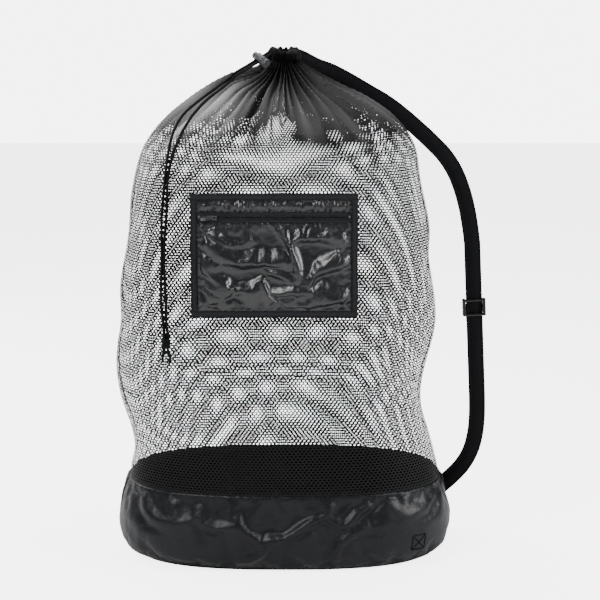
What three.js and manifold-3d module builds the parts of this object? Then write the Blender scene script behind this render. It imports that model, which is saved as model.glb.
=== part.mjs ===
// Mesh ball bag: a tall drawstring sack of open netting on a solid coated base band, with a flat zipped
// pocket on the front and an adjustable webbing shoulder strap down the right side, in the full, standing
// shape that a load of balls gives it. Millimetres, +Z up, front towards -Y, origin on the floor under the
// middle of the base panel.
import * as THREE from "three";
import { mergeVertices } from "three/addons/utils/BufferGeometryUtils.js";
import Module from "manifold-3d";

const wasm = await Module();
wasm.setup();

// ---- driving dimensions -------------------------------------------------------------------------------

const gap = 0.4; // between pieces that touch on the real bag

// Outline of the full bag: height, half width to the left, half width to the right, half depth.
const bandOutline = [
  [0, 262, 262, 148],
  [10, 280, 280, 160],
  [32, 293, 293, 169],
  [70, 296, 296, 172],
  [108, 290, 290, 170],
  [140, 281, 281, 167],
];
const bandTop = bandOutline[bandOutline.length - 1];
const netOutline = [
  bandTop,
  [200, 277, 268, 167],
  [300, 292, 250, 170],
  [420, 292, 262, 172],
  [560, 278, 256, 172],
  [680, 264, 240, 166],
  [740, 246, 230, 153],
  [790, 208, 196, 128],
  [825, 166, 148, 101],
  [850, 128, 96, 72],
  [868, 92, 62, 46],
  [880, 60, 42, 33],
  [888, 31, 30, 29],
];
const netWall = 2;
const bandWall = 2;
const bandHeight = bandTop[0];
const bodySquareness = 2.6; // exponent of the plan section; 2 is an ellipse
const neckSquareness = 2;
const squareUpTo = 690; // height where the section starts to turn into an ellipse
const neckHeight = netOutline[netOutline.length - 1][0];

// Flat stretch of the front that the stiffer pocket pulls straight.
const flatSetBack = 20; // of that flat, from the fullest depth
const fullDepth = Math.max(...netOutline.map((row) => row[3]));
const frontPlane = fullDepth - flatSetBack;
const flatSoftness = 5;
const flatMargin = 45; // of the flat above and below the pocket
const flatFade = 60; // height over which it dies out beyond them

const panelColumns = 18; // facets round half the bag
const panelRows = 18;

const basePanel = { thickness: 2.4, inset: 2 }; // inset of its edge from the band's inner face
const seamTape = { thickness: 1.2, height: 16 };
const sideSeam = { width: 12, thickness: 1.4, top: 850, sag: 1.7 };

// Drawcord hem round the mouth.
const hem = { outer: 31, inner: 12, height: 21, wall: 2, corner: 4 };
const hemBottom = neckHeight + gap;
const hemMiddle = hemBottom + hem.height / 2;
const hemCentre = (hem.outer + hem.inner) / 2; // radius of the channel's middle
const cord = { diameter: 5, between: 1, sides: 8, clearance: 0.4 };
cord.spacing = cord.diameter + cord.between;
const exitTurn = THREE.MathUtils.degToRad(212); // direction of the buttonhole round the hem, from +X
const exitSlope = THREE.MathUtils.degToRad(26); // how far below level the cords leave
const lockTilt = THREE.MathUtils.degToRad(30); // of the cord lock about the cords
const loopOpen = THREE.MathUtils.degToRad(34); // turn either side of the buttonhole where the loop ends
const lockPlace = 19; // of the cord lock's middle along the cords, from the hem
const lockTravel = 28; // along the cords
const straightBeyond = 29; // of the cords, past the end of that travel
const lockEnd = lockPlace + lockTravel;
const lockDent = { depth: 13, radius: 62, fade: 8 }; // the soft crown gives way under the cord lock

// The two cords' middle line beyond the hem: along the shoulder and down the front, to the knot.
const cordRoute = [
  [-92, -52, 858], [-112, -61, 843], [-132, -71, 829], [-151, -85, 813], [-168, -98, 795],
  [-181, -110, 772], [-190, -121, 746], [-196, -130, 720], [-201, -134, 690], [-203, -139, 655],
  [-205, -142, 615], [-207, -144, 570], [-208, -146, 525], [-207, -148, 485], [-205, -151, 450],
  [-203, -154, 425],
];
const spreadRoute = 8; // how far apart the cords drift along the shoulder, and where they meet again

const lock = { radius: 8.2, wall: 1.7, floor: 2, clearance: 0.5, end: 2.6 };
const plunger = { travel: 4.5, proud: 3 }; // proud of the barrel when it is pressed
const lockSpring = { length: 6.4, wire: 0.9, turns: 3.5, clearance: 0.3 };
const knot = { radius: 8.5, length: 26, tips: 22 };

// Pocket on the front.
const pocket = { width: 286, height: 214, middleX: -16, middleZ: 564, binding: 11 };
const cloth = 0.7; // thickness of the pocket's panels and of its binding tape
const zip = {
  belowTop: 40, tape: 8, tapeThickness: 0.6, tuck: 4, coilHeight: 2.2, coilDepth: 1.6, parting: 2.2,
};
const zipStop = { length: 3.5, clearance: 2 };
const slider = {
  length: 12,
  height: 10.5,
  plate: 1.1,
  web: 1.4,
  clearance: 0.4,
  bail: 3.4,
  bailBar: 1.3,
  bailHalf: 1.1,
  bailSpan: 2.9,
};
const pull = { length: 24, width: 7.5, thickness: 1.3, clearance: 0.35, armLength: 8, plateFrom: 6 };

// Shoulder strap. Its middle line runs from the back of the hem to the ring behind the base.
const webbing = { width: 30, thickness: 2 };
const layerGap = 0.8; // between the strap and its returning layer
const strapStart = [
  [6, 36, 896], [30, 46, 887], [56, 58, 873], [84, 67, 862], [116, 74, 845], [148, 78, 826],
];
const strapShoulder = [[182, 79, 806], [213, 79, 783], [242, 78, 758], [268, 77, 734], [290, 76, 711]];
const strapSide = [[308, 76, 684], [321, 76, 654], [331, 76, 620], [338, 76, 585]];
const strapStraight = { top: [343, 76, 550], bottom: [357, 76, 262] };
const strapFoot = [
  [357.5, 77, 225], [355, 79, 190], [347, 82, 156], [332, 87, 126], [312, 94, 101], [291, 102, 79],
];
const adjuster = { width: 43, height: 31, bar: 4, clearance: 0.8, sink: 1 };
const strapTail = { near: 8, far: 20 }; // how far it runs on past the adjuster's bar
const adjusterAlong = 120; // of its middle down the straight stretch
const ring = { bar: 4, opening: 9, clearance: 0.6, fromFoot: 14 };
const ringTab = { reach: 60, thickness: 1.6, turn: THREE.MathUtils.degToRad(-62) };
const boxStitch = { size: 28, thread: 1.3, proud: 0.7, middleX: 236, middleZ: 46 };
const anchorPatch = { size: 34, thickness: 2 };

// ---- the bag's outer surface ---------------------------------------------------------------------------

// Smooth curve through an outline's columns at one height (Hermite, slopes from the neighbouring points).
function outlineAt(outline, height) {
  const last = outline.length - 1;
  let i = 0;
  while (i < last - 1 && height > outline[i + 1][0]) i += 1;
  const slope = (k, column) => {
    const below = outline[Math.max(k - 1, 0)];
    const above = outline[Math.min(k + 1, last)];
    return (above[column] - below[column]) / (above[0] - below[0]);
  };
  const [low, high] = [outline[i], outline[i + 1]];
  const span = high[0] - low[0];
  const t = THREE.MathUtils.clamp((height - low[0]) / span, 0, 1);
  const a = 2 * t ** 3 - 3 * t ** 2 + 1;
  const b = t ** 3 - 2 * t ** 2 + t;
  const c = 3 * t ** 2 - 2 * t ** 3;
  const d = t ** 3 - t ** 2;
  return [1, 2, 3].map((column) =>
    a * low[column] + b * span * slope(i, column) + c * high[column] + d * span * slope(i + 1, column));
}

// Straight up to the limit less its softness, then eases on to the limit.
function softLimit(value, limit, softness) {
  const start = limit - softness;
  return value <= start ? value : limit - softness * Math.exp(-(value - start) / softness);
}

// Where the cords leave the hem, and the line of their straight stretch.
const exitOut = new THREE.Vector3(Math.cos(exitTurn), Math.sin(exitTurn), 0);
const cordAlong = exitOut.clone().multiplyScalar(Math.cos(exitSlope)).setZ(-Math.sin(exitSlope));
const exitSide = new THREE.Vector3(Math.sin(exitTurn), -Math.cos(exitTurn), 0);
const cordAcross = exitSide.clone().applyAxisAngle(cordAlong, -lockTilt);
const exitPoint = exitOut.clone().multiplyScalar(hem.outer + gap).setZ(hemMiddle);
const lockCentre = exitPoint.clone().addScaledVector(cordAlong, lockPlace);

// A point of the outer surface: turn runs round from +X, height up the bag.
function bagPoint(turn, height) {
  const [left, right, depth] = outlineAt(height < bandHeight ? bandOutline : netOutline, height);
  const toNeck = THREE.MathUtils.smoothstep(height, squareUpTo, neckHeight);
  const power = 2 / THREE.MathUtils.lerp(bodySquareness, neckSquareness, toNeck);
  const [c, s] = [Math.cos(turn), Math.sin(turn)];
  const x = Math.sign(c) * Math.abs(c) ** power * (c < 0 ? left : right);
  let y = Math.sign(s) * Math.abs(s) ** power * depth;
  const beyond = Math.abs(height - pocket.middleZ) - pocket.height / 2 - flatMargin;
  const away = Math.max(0, beyond) / flatFade;
  if (y < 0 && away < 1) {
    const flat = -softLimit(-y, frontPlane, flatSoftness);
    y = THREE.MathUtils.lerp(flat, y, THREE.MathUtils.smoothstep(away, 0, 1));
  }
  const point = new THREE.Vector3(x, y, height);
  const toLock = Math.hypot(x - lockCentre.x, y - lockCentre.y) / lockDent.radius;
  if (toLock < 1 && height > squareUpTo) {
    const fade = THREE.MathUtils.smoothstep(neckHeight - height, 0, lockDent.fade);
    point.z -= lockDent.depth * (1 - toLock ** 2) ** 2 * fade;
  }
  return point;
}

// Outward normal of that surface.
function bagNormal(turn, height) {
  const step = 0.004;
  const low = Math.max(height - 1, 0);
  const high = Math.min(height + 1, neckHeight);
  const round = bagPoint(turn + step, height).sub(bagPoint(turn - step, height));
  const up = bagPoint(turn, high).sub(bagPoint(turn, low));
  return round.cross(up).normalize();
}

function bagInside(turn, height, depth) {
  return bagPoint(turn, height).addScaledVector(bagNormal(turn, height), -depth);
}

// ---- geometry helpers ----------------------------------------------------------------------------------

// Turns a closed mesh's faces outwards, whichever way they were wound.
function facingOut(geometry) {
  const index = geometry.index.array;
  const position = geometry.getAttribute("position");
  const corner = (i) => new THREE.Vector3().fromBufferAttribute(position, index[i]);
  let volume = 0;
  for (let i = 0; i < index.length; i += 3) {
    volume += corner(i).dot(corner(i + 1).cross(corner(i + 2)));
  }
  if (volume < 0) index.reverse();
  return geometry;
}

// A closed solid between two grids of points, outer(u, v) and inner(u, v), with u and v counted in steps.
// With closed true the first and last columns meet.
function shellGeometry(outer, inner, columns, rows, closed = false) {
  const wide = closed ? columns : columns + 1;
  const points = [];
  for (const face of [outer, inner]) {
    for (let v = 0; v <= rows; v += 1) {
      for (let u = 0; u < wide; u += 1) points.push(face(u, v));
    }
  }
  const at = (side, u, v) => side * wide * (rows + 1) + v * wide + (u % wide);
  const faces = [];
  const quad = (a, b, c, d) => faces.push(a, b, c, a, c, d);
  for (let u = 0; u < columns; u += 1) {
    for (let v = 0; v < rows; v += 1) {
      quad(at(0, u, v), at(0, u + 1, v), at(0, u + 1, v + 1), at(0, u, v + 1));
      quad(at(1, u, v), at(1, u, v + 1), at(1, u + 1, v + 1), at(1, u + 1, v));
    }
    quad(at(1, u, 0), at(1, u + 1, 0), at(0, u + 1, 0), at(0, u, 0));
    quad(at(0, u, rows), at(0, u + 1, rows), at(1, u + 1, rows), at(1, u, rows));
  }
  if (!closed) {
    for (let v = 0; v < rows; v += 1) {
      quad(at(1, 0, v), at(0, 0, v), at(0, 0, v + 1), at(1, 0, v + 1));
      quad(at(0, columns, v), at(1, columns, v), at(1, columns, v + 1), at(0, columns, v + 1));
    }
  }
  const geometry = new THREE.BufferGeometry().setFromPoints(points);
  geometry.setIndex(faces);
  return facingOut(geometry);
}

// A box between two opposite corners.
function boxGeometry(low, high) {
  const size = high.map((value, i) => value - low[i]);
  return new THREE.BoxGeometry(...size).translate(...low.map((value, i) => value + size[i] / 2));
}

// A matrix that stands a shape on three directions at a place.
function placeOn(x, y, z, middle) {
  return new THREE.Matrix4().makeBasis(x, y, z).setPosition(middle);
}

// A round tube along a curve.
function tubeGeometry(curve, diameter, steps, sides = cord.sides) {
  const circle = new THREE.Shape();
  for (let i = 0; i < sides; i += 1) {
    const turn = (2 * Math.PI * i) / sides;
    const [x, y] = [(Math.cos(turn) * diameter) / 2, (Math.sin(turn) * diameter) / 2];
    if (i === 0) circle.moveTo(x, y);
    else circle.lineTo(x, y);
  }
  return new THREE.ExtrudeGeometry(circle, { steps, extrudePath: curve, bevelEnabled: false });
}

// A flat band through places, each { point, across, out }: its near face holds the points.
function bandGeometry(places, width, thickness) {
  const corner = (place, w, t) =>
    place.point.clone().addScaledVector(place.across, (w * width) / 2).addScaledVector(place.out, t);
  const outer = (u, v) => corner(places[v], 2 * u - 1, thickness);
  const inner = (u, v) => corner(places[v], 2 * u - 1, 0);
  return shellGeometry(outer, inner, 1, places.length - 1);
}

// A closed mesh as a manifold solid, and back.
function solidOf(geometry) {
  const bare = new THREE.BufferGeometry().setAttribute("position", geometry.getAttribute("position"));
  if (geometry.index) bare.setIndex(geometry.index);
  const merged = mergeVertices(bare, 1e-4);
  return new wasm.Manifold(new wasm.Mesh({
    numProp: 3,
    vertProperties: new Float32Array(merged.getAttribute("position").array),
    triVerts: new Uint32Array(merged.index.array),
  }));
}

function geometryOf(solid) {
  const mesh = solid.getMesh();
  const geometry = new THREE.BufferGeometry();
  geometry.setAttribute("position", new THREE.BufferAttribute(mesh.vertProperties, 3));
  return geometry.setIndex(new THREE.BufferAttribute(mesh.triVerts, 1));
}

function joined(...geometries) {
  return geometryOf(geometries.map(solidOf).reduce((all, solid) => all.add(solid)));
}

function cut(geometry, ...tools) {
  return geometryOf(tools.map(solidOf).reduce((left, tool) => left.subtract(tool), solidOf(geometry)));
}

// ---- materials and the group ---------------------------------------------------------------------------

const finishes = {
  netting: { color: 0x17181a, roughness: 0.75, metalness: 0 },
  coatedCloth: { color: 0x3a3c40, roughness: 0.5, metalness: 0 },
  satinCloth: { color: 0x4a4d52, roughness: 0.4, metalness: 0 },
  tape: { color: 0x26282b, roughness: 0.8, metalness: 0 },
  webbing: { color: 0x1c1d21, roughness: 0.7, metalness: 0 },
  cord: { color: 0x141516, roughness: 0.7, metalness: 0 },
  plastic: { color: 0x1b1c1e, roughness: 0.4, metalness: 0 },
  metal: { color: 0xb9bcc0, roughness: 0.3, metalness: 1 },
  thread: { color: 0x101112, roughness: 0.8, metalness: 0 },
};
const bag = new THREE.Group();

function add(name, finish, geometry) {
  const mesh = new THREE.Mesh(geometry, new THREE.MeshStandardMaterial(finishes[finish]));
  mesh.name = name;
  bag.add(mesh);
}

// ---- base ----------------------------------------------------------------------------------------------

// Rows of the band bunch near the floor, where its edge rounds under.
const bandRows = [0, 3, 9, 20, 40, 70, 105, 140].map((share) => (share * bandHeight) / 140);
const bandColumns = 2 * panelColumns;
const roundTurn = (u) => (2 * Math.PI * u) / bandColumns;

// A ring of cloth between two depths under the surface, through the given heights, with level edges.
function ringShell(heights, outerDepth, innerDepth) {
  const last = heights.length - 1;
  const face = (depth) => (u, v) => {
    const point = bagInside(roundTurn(u), heights[v], depth);
    return v === 0 || v === last ? point.setZ(heights[v]) : point;
  };
  return shellGeometry(face(outerDepth), face(innerDepth), bandColumns, last, true);
}

function makeBasePanel() {
  const outline = [];
  for (let u = 0; u < bandColumns; u += 1) {
    const edge = bagInside(roundTurn(u), 0, bandWall + basePanel.inset);
    outline.push(new THREE.Vector2(edge.x, edge.y));
  }
  const sheet = { depth: basePanel.thickness, bevelEnabled: false };
  return new THREE.ExtrudeGeometry(new THREE.Shape(outline), sheet);
}

add("base_panel", "coatedCloth", makeBasePanel());
add("base_band", "coatedCloth", ringShell(bandRows, 0, bandWall));
const tapeDepth = bandWall + gap;
const seamHeights = [-1, 0, 1].map((side) => bandHeight + (side * seamTape.height) / 2);
add("band_top_seam_tape", "tape", ringShell(seamHeights, tapeDepth, tapeDepth + seamTape.thickness));

// ---- netting -------------------------------------------------------------------------------------------

const netLow = bandHeight + gap;

// Rows close up towards the neck, where the outline bends most.
const netRow = (v) => netLow + (neckHeight - netLow) * (1 - (1 - v / panelRows) ** 1.6);

// One half of the netting; its side edges stand half a gap from the seam plane.
function makeNetPanel(start) {
  const side = start === 0 ? 1 : -1;
  const face = (depth) => (u, v) => {
    const point = bagInside(start + (Math.PI * u) / panelColumns, netRow(v), depth);
    if (v === 0 || v === panelRows) point.setZ(netRow(v));
    if (u === 0 || u === panelColumns) point.setY((side * gap) / 2);
    return point;
  };
  return shellGeometry(face(0), face(netWall), panelColumns, panelRows);
}

// A binding tape down the inside of a side seam; it is flat across, so it stands off the round wall.
function makeSideSeam(side) {
  const rows = 14;
  const low = netLow + seamTape.height / 2 + gap;
  const edgeAt = (height) => side * outlineAt(netOutline, height)[side < 0 ? 0 : 1];
  const depth = netWall + gap + sideSeam.thickness + sideSeam.sag;
  const places = [];
  for (let v = 0; v <= rows; v += 1) {
    const height = low + ((sideSeam.top - low) * v) / rows;
    const slope = side * (edgeAt(height + 1) - edgeAt(height - 1)) / 2;
    const out = new THREE.Vector3(side, 0, -slope).normalize();
    const point = new THREE.Vector3(edgeAt(height), 0, height).addScaledVector(out, -depth);
    places.push({ point, across: new THREE.Vector3(0, 1, 0), out });
  }
  return bandGeometry(places, sideSeam.width, sideSeam.thickness);
}

add("net_front_panel", "netting", makeNetPanel(Math.PI));
add("net_back_panel", "netting", makeNetPanel(0));
add("side_seam_tape_left", "tape", makeSideSeam(-1));
add("side_seam_tape_right", "tape", makeSideSeam(1));

// ---- drawcord and its hem ------------------------------------------------------------------------------

const exitUp = new THREE.Vector3().crossVectors(cordAlong, cordAcross);

// Corner points of an upright rectangle with rounded corners, anticlockwise from the right side's top.
function roundedRectangle(halfWidth, halfHeight, corner) {
  const points = [];
  for (const [x, y, start] of [[1, 1, 0], [-1, 1, 90], [-1, -1, 180], [1, -1, 270]]) {
    for (const step of [0, 45, 90]) {
      const turn = THREE.MathUtils.degToRad(start + step);
      const middle = [x * (halfWidth - corner), y * (halfHeight - corner)];
      points.push([middle[0] + corner * Math.cos(turn), middle[1] + corner * Math.sin(turn)]);
    }
  }
  return points;
}

// The hem is a folded channel round the mouth, open at a slit where its lower edges meet, with one
// buttonhole.
function makeHem() {
  const halfWidth = (hem.outer - hem.inner) / 2;
  const halfHeight = hem.height / 2;
  const outside = roundedRectangle(halfWidth, halfHeight, hem.corner);
  const inside = roundedRectangle(halfWidth - hem.wall, halfHeight - hem.wall, hem.corner - hem.wall / 2);
  const slit = (side, y) => [side * gap / 2, y];
  const corners = [
    ...outside.slice(0, 9), slit(-1, -halfHeight), slit(-1, hem.wall - halfHeight),
    ...inside.slice(0, 9).reverse(), ...inside.slice(9).reverse(),
    slit(1, hem.wall - halfHeight), slit(1, -halfHeight), ...outside.slice(9),
  ];
  const profile = corners.map(([x, y]) => new THREE.Vector2(hemCentre + x, hemMiddle + y));
  profile.push(profile[0].clone());
  const ringSolid = facingOut(new THREE.LatheGeometry(profile, 24).rotateX(Math.PI / 2));
  const holeHeight = cord.diameter + 5 * cord.clearance;
  const hole = new THREE.BoxGeometry(5 * hem.wall, cord.spacing + holeHeight, holeHeight);
  return cut(ringSolid, hole.applyMatrix4(placeOn(cordAlong, cordAcross, exitUp, exitPoint)));
}

function makeCordLoop() {
  const start = exitTurn + loopOpen;
  const sweep = 2 * (Math.PI - loopOpen);
  const at = (share) => {
    const turn = start + sweep * share;
    return new THREE.Vector3(hemCentre * Math.cos(turn), hemCentre * Math.sin(turn), hemMiddle);
  };
  const points = [];
  for (let i = 0; i <= 16; i += 1) points.push(at(i / 16));
  return tubeGeometry(new THREE.CatmullRomCurve3(points), cord.diameter, 14);
}

const runFacets = 46; // along each run

// A point of the cords' straight stretch, so far from the hem.
const cordPoint = (along) => exitPoint.clone().addScaledVector(cordAlong, along);

// One run of the cord: from the loop's end through the buttonhole and the cord lock, along the route.
function runCurve(side) {
  const turn = exitTurn - side * (loopOpen - (3 * gap) / hemCentre);
  const start = new THREE.Vector3(hemCentre * Math.cos(turn), hemCentre * Math.sin(turn), hemMiddle);
  const bend = cordPoint(-0.25 * hemCentre).addScaledVector(cordAcross, (side * cord.spacing) / 2);
  const points = [start, bend];
  for (const along of [4, lockPlace, lockEnd, lockEnd + straightBeyond]) {
    points.push(cordPoint(along).addScaledVector(cordAcross, (side * cord.spacing) / 2));
  }
  cordRoute.forEach(([x, y, z], i) => {
    const apart = Math.max(0, Math.sin((Math.PI * i) / spreadRoute)) * (i < spreadRoute ? 4 : 0);
    const half = cord.spacing / 2 + apart;
    const downhill = THREE.MathUtils.smoothstep(i, 0, spreadRoute);
    const across = cordAcross.clone().lerp(new THREE.Vector3(-0.98, 0.2, 0), downhill).normalize();
    points.push(new THREE.Vector3(x, y, z).addScaledVector(across, side * half));
  });
  return new THREE.CatmullRomCurve3(points, false, "centripetal");
}

// The knot that holds the two ends together, with their short tips below it.
function makeKnot() {
  const [x, y, z] = cordRoute[cordRoute.length - 1];
  const profile = [[0, 0], [0.62, 0], [0.95, 0.22], [1, 0.5], [0.95, 0.78], [0.62, 1], [0, 1]];
  const outline = profile.map(([r, h]) => new THREE.Vector2(r * knot.radius, h * knot.length));
  const ball = new THREE.LatheGeometry(outline, 16);
  ball.rotateX(Math.PI / 2).translate(x, y, z - gap - knot.length);
  const tips = [-1, 1].map((side) => {
    const low = [x + side * 5.5, y, z - gap - knot.length - knot.tips];
    const high = [x + side * 3, y, z - gap - knot.length / 2];
    const line = new THREE.LineCurve3(new THREE.Vector3(...high), new THREE.Vector3(...low));
    return tubeGeometry(line, cord.diameter, 1);
  });
  return joined(facingOut(ball), ...tips);
}

add("mouth_hem", "netting", makeHem());
add("drawcord_loop", "cord", makeCordLoop());
add("drawcord_left_run", "cord", tubeGeometry(runCurve(1), cord.diameter, runFacets));
add("drawcord_right_run", "cord", tubeGeometry(runCurve(-1), cord.diameter, runFacets));
add("cord_knot", "cord", makeKnot());

// ---- cord lock -----------------------------------------------------------------------------------------

// Places along the barrel, from its closed end.
const slotHalf = (cord.spacing + cord.diameter) / 2 + cord.clearance;
const plungerFoot = lock.floor + 2 * lockSpring.clearance + lockSpring.length;
const slotStart = plungerFoot + lock.end;
const cordsMiddle = slotStart + slotHalf;
const plungerSlotEnd = cordsMiddle + slotHalf + plunger.travel;
const plungerTop = plungerSlotEnd + lock.end + plunger.proud;
const barrelTop = plungerTop - plunger.proud - plunger.travel;
const boreRadius = lock.radius - lock.wall;
const plungerRadius = boreRadius - lock.clearance;

// The barrel's axis runs across the cords; its frame is (away from the bag, along the cords, its axis).
const lockFoot = cordPoint(lockPlace).addScaledVector(cordAcross, -cordsMiddle);
const lockFrame = placeOn(exitUp, cordAlong, cordAcross, lockFoot);

function upright(radius, low, high, sides = 24) {
  return new THREE.CylinderGeometry(radius, radius, high - low, sides).rotateX(Math.PI / 2)
    .translate(0, 0, (low + high) / 2);
}

// The slot that both cords pass through, cut across a cylinder of the lock.
function cordSlot(low, high) {
  const half = cord.diameter / 2 + cord.clearance;
  return boxGeometry([-half, -2 * lock.radius, low], [half, 2 * lock.radius, high]);
}

function makeLockBarrel() {
  const body = upright(lock.radius, 0, barrelTop);
  const bore = upright(boreRadius, lock.floor, barrelTop + 1);
  return cut(body, bore, cordSlot(slotStart, cordsMiddle + slotHalf)).applyMatrix4(lockFrame);
}

function makeLockPlunger() {
  const body = upright(plungerRadius, plungerFoot, plungerTop);
  return cut(body, cordSlot(slotStart, plungerSlotEnd)).applyMatrix4(lockFrame);
}

function makeLockSpring() {
  const radius = boreRadius - 2 * lockSpring.wire;
  const points = [];
  const turnSteps = 8;
  const steps = lockSpring.turns * turnSteps;
  const low = lock.floor + lockSpring.clearance + lockSpring.wire;
  const rise = lockSpring.length - 2 * lockSpring.wire;
  for (let i = 0; i <= steps; i += 1) {
    const turn = (2 * Math.PI * i) / turnSteps;
    const height = low + (rise * i) / steps;
    points.push(new THREE.Vector3(radius * Math.cos(turn), radius * Math.sin(turn), height));
  }
  return tubeGeometry(new THREE.CatmullRomCurve3(points), lockSpring.wire, steps, 6).applyMatrix4(lockFrame);
}

add("cord_lock_barrel", "plastic", makeLockBarrel());
add("cord_lock_plunger", "plastic", makeLockPlunger());
add("cord_lock_spring", "metal", makeLockSpring());

// ---- pocket --------------------------------------------------------------------------------------------

// Depths in front of the flat, layer by layer: binding, back panel, slider's back plate, zip tape, front
// cloth.
const layer = { bindingBack: gap };
layer.back = layer.bindingBack + cloth + gap;
layer.plateBack = layer.back + cloth + gap;
layer.tape = layer.plateBack + slider.plate + slider.clearance;
layer.front = layer.tape + zip.tapeThickness + gap;
layer.coil = layer.tape + zip.tapeThickness + gap;
layer.bindingFront = layer.front + cloth + gap;
layer.plateFront = layer.coil + zip.coilDepth + slider.clearance;

const pocketLeft = pocket.middleX - pocket.width / 2;
const pocketRight = pocket.middleX + pocket.width / 2;
const pocketBottom = pocket.middleZ - pocket.height / 2;
const pocketTop = pocket.middleZ + pocket.height / 2;
const zipZ = pocketTop - zip.belowTop;
const bite = pocket.binding - cloth - gap; // how deep a binding takes the cloth's edge in

// A box whose depth is counted outwards from the flat.
function frontBox(left, right, bottom, top, depth, thickness) {
  const near = -frontPlane - depth;
  return boxGeometry([left, near - thickness, bottom], [right, near, top]);
}

// A folded binding tape: a box with a groove along its inward edge. Inward is the groove's side, as [x, z].
function makeBinding(left, right, bottom, top, inward) {
  const thickness = layer.bindingFront + cloth - layer.bindingBack;
  const solid = frontBox(left, right, bottom, top, layer.bindingBack, thickness);
  const far = 1000;
  const shift = (low, way) => low + (way > 0 ? cloth : way < 0 ? -cloth : 0);
  const [x, z] = inward;
  const isOpen = (way, outwards) => way === 0 || way === outwards;
  const reach = (edge, way, outwards) => (isOpen(way, outwards) ? edge + outwards * far : shift(edge, way));
  const groove = frontBox(reach(left, x, -1), reach(right, x, 1), reach(bottom, z, -1), reach(top, z, 1),
    layer.bindingBack + cloth, thickness - 2 * cloth);
  return cut(solid, groove);
}

const inner = {
  left: pocketLeft + pocket.binding - bite,
  right: pocketRight - pocket.binding + bite,
  bottom: pocketBottom + pocket.binding - bite,
  top: pocketTop - pocket.binding + bite,
};
const sideBottom = pocketBottom + pocket.binding + gap;
const sideTop = pocketTop - pocket.binding - gap;
const clothEdge = zip.parting / 2 + zip.tape;

add("pocket_back_panel", "satinCloth",
  frontBox(inner.left, inner.right, inner.bottom, inner.top, layer.back, cloth));
add("pocket_front_panel", "satinCloth",
  frontBox(inner.left, inner.right, inner.bottom, zipZ - clothEdge, layer.front, cloth));
add("pocket_top_strip", "satinCloth",
  frontBox(inner.left, inner.right, zipZ + clothEdge, inner.top, layer.front, cloth));
add("pocket_binding_bottom", "tape",
  makeBinding(pocketLeft, pocketRight, pocketBottom, pocketBottom + pocket.binding, [0, 1]));
add("pocket_binding_top", "tape",
  makeBinding(pocketLeft, pocketRight, pocketTop - pocket.binding, pocketTop, [0, -1]));
add("pocket_binding_left", "tape",
  makeBinding(pocketLeft, pocketLeft + pocket.binding, sideBottom, sideTop, [1, 0]));
add("pocket_binding_right", "tape",
  makeBinding(pocketRight - pocket.binding, pocketRight, sideBottom, sideTop, [-1, 0]));

// ---- zip -----------------------------------------------------------------------------------------------

const stopLeft = pocketLeft + pocket.binding + zipStop.clearance;
const stopRight = pocketRight - pocket.binding - zipStop.clearance;
const coilLeft = stopLeft + zipStop.length + gap;
const coilRight = stopRight - zipStop.length - gap;
const sliderLeft = coilLeft + gap;
const sliderMiddle = sliderLeft + slider.length / 2;
const zipTravel = coilRight - gap - slider.length - sliderLeft;

for (const [name, side] of [["upper", 1], ["lower", -1]]) {
  const near = zipZ + (side * zip.parting) / 2;
  const tapeFar = near + side * (zip.tape + zip.tuck);
  const coilFar = near + side * zip.coilHeight;
  const [tapeLow, tapeHigh] = [Math.min(near, tapeFar), Math.max(near, tapeFar)];
  const [coilLow, coilHigh] = [Math.min(near, coilFar), Math.max(near, coilFar)];
  add(`zip_tape_${name}`, "tape",
    frontBox(inner.left, inner.right, tapeLow, tapeHigh, layer.tape, zip.tapeThickness));
  add(`zip_coil_${name}`, "plastic",
    frontBox(coilLeft, coilRight, coilLow, coilHigh, layer.coil, zip.coilDepth));
}
const stopHalf = zip.parting / 2 + zip.coilHeight;
for (const [name, left] of [["left", stopLeft], ["right", stopRight - zipStop.length]]) {
  add(`zip_stop_${name}`, "metal",
    frontBox(left, left + zipStop.length, zipZ - stopHalf, zipZ + stopHalf, layer.coil, zip.coilDepth));
}

// Two plates either side of the coils, a web between them in the parting, and a bail on the front plate.
const bailMiddle = sliderMiddle - 1.5;
const bailDepth = layer.plateFront + slider.plate;
const pinMiddle = bailDepth + slider.bail - slider.bailBar - pull.clearance - pull.thickness / 2;

function makeSlider() {
  const half = slider.height / 2;
  const right = sliderLeft + slider.length;
  const plate = (depth) => frontBox(sliderLeft, right, zipZ - half, zipZ + half, depth, slider.plate);
  const webHalf = slider.web / 2;
  const web = frontBox(sliderLeft + 1, sliderLeft + slider.length * 0.6, zipZ - webHalf, zipZ + webHalf,
    layer.plateBack, bailDepth - layer.plateBack);
  const bailLow = zipZ - slider.bailHalf;
  const bailHigh = zipZ + slider.bailHalf;
  const legs = [-1, 1].map((side) => {
    const middle = bailMiddle + side * (pull.thickness / 2 + pull.clearance + slider.bailBar / 2 + 0.6);
    return frontBox(middle - slider.bailBar / 2, middle + slider.bailBar / 2, bailLow, bailHigh,
      bailDepth - 0.2, slider.bail + 0.2);
  });
  const bridge = frontBox(bailMiddle - slider.bailSpan, bailMiddle + slider.bailSpan, bailLow, bailHigh,
    bailDepth + slider.bail - slider.bailBar, slider.bailBar);
  return joined(plate(layer.plateBack), plate(layer.plateFront), web, ...legs, bridge);
}

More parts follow.
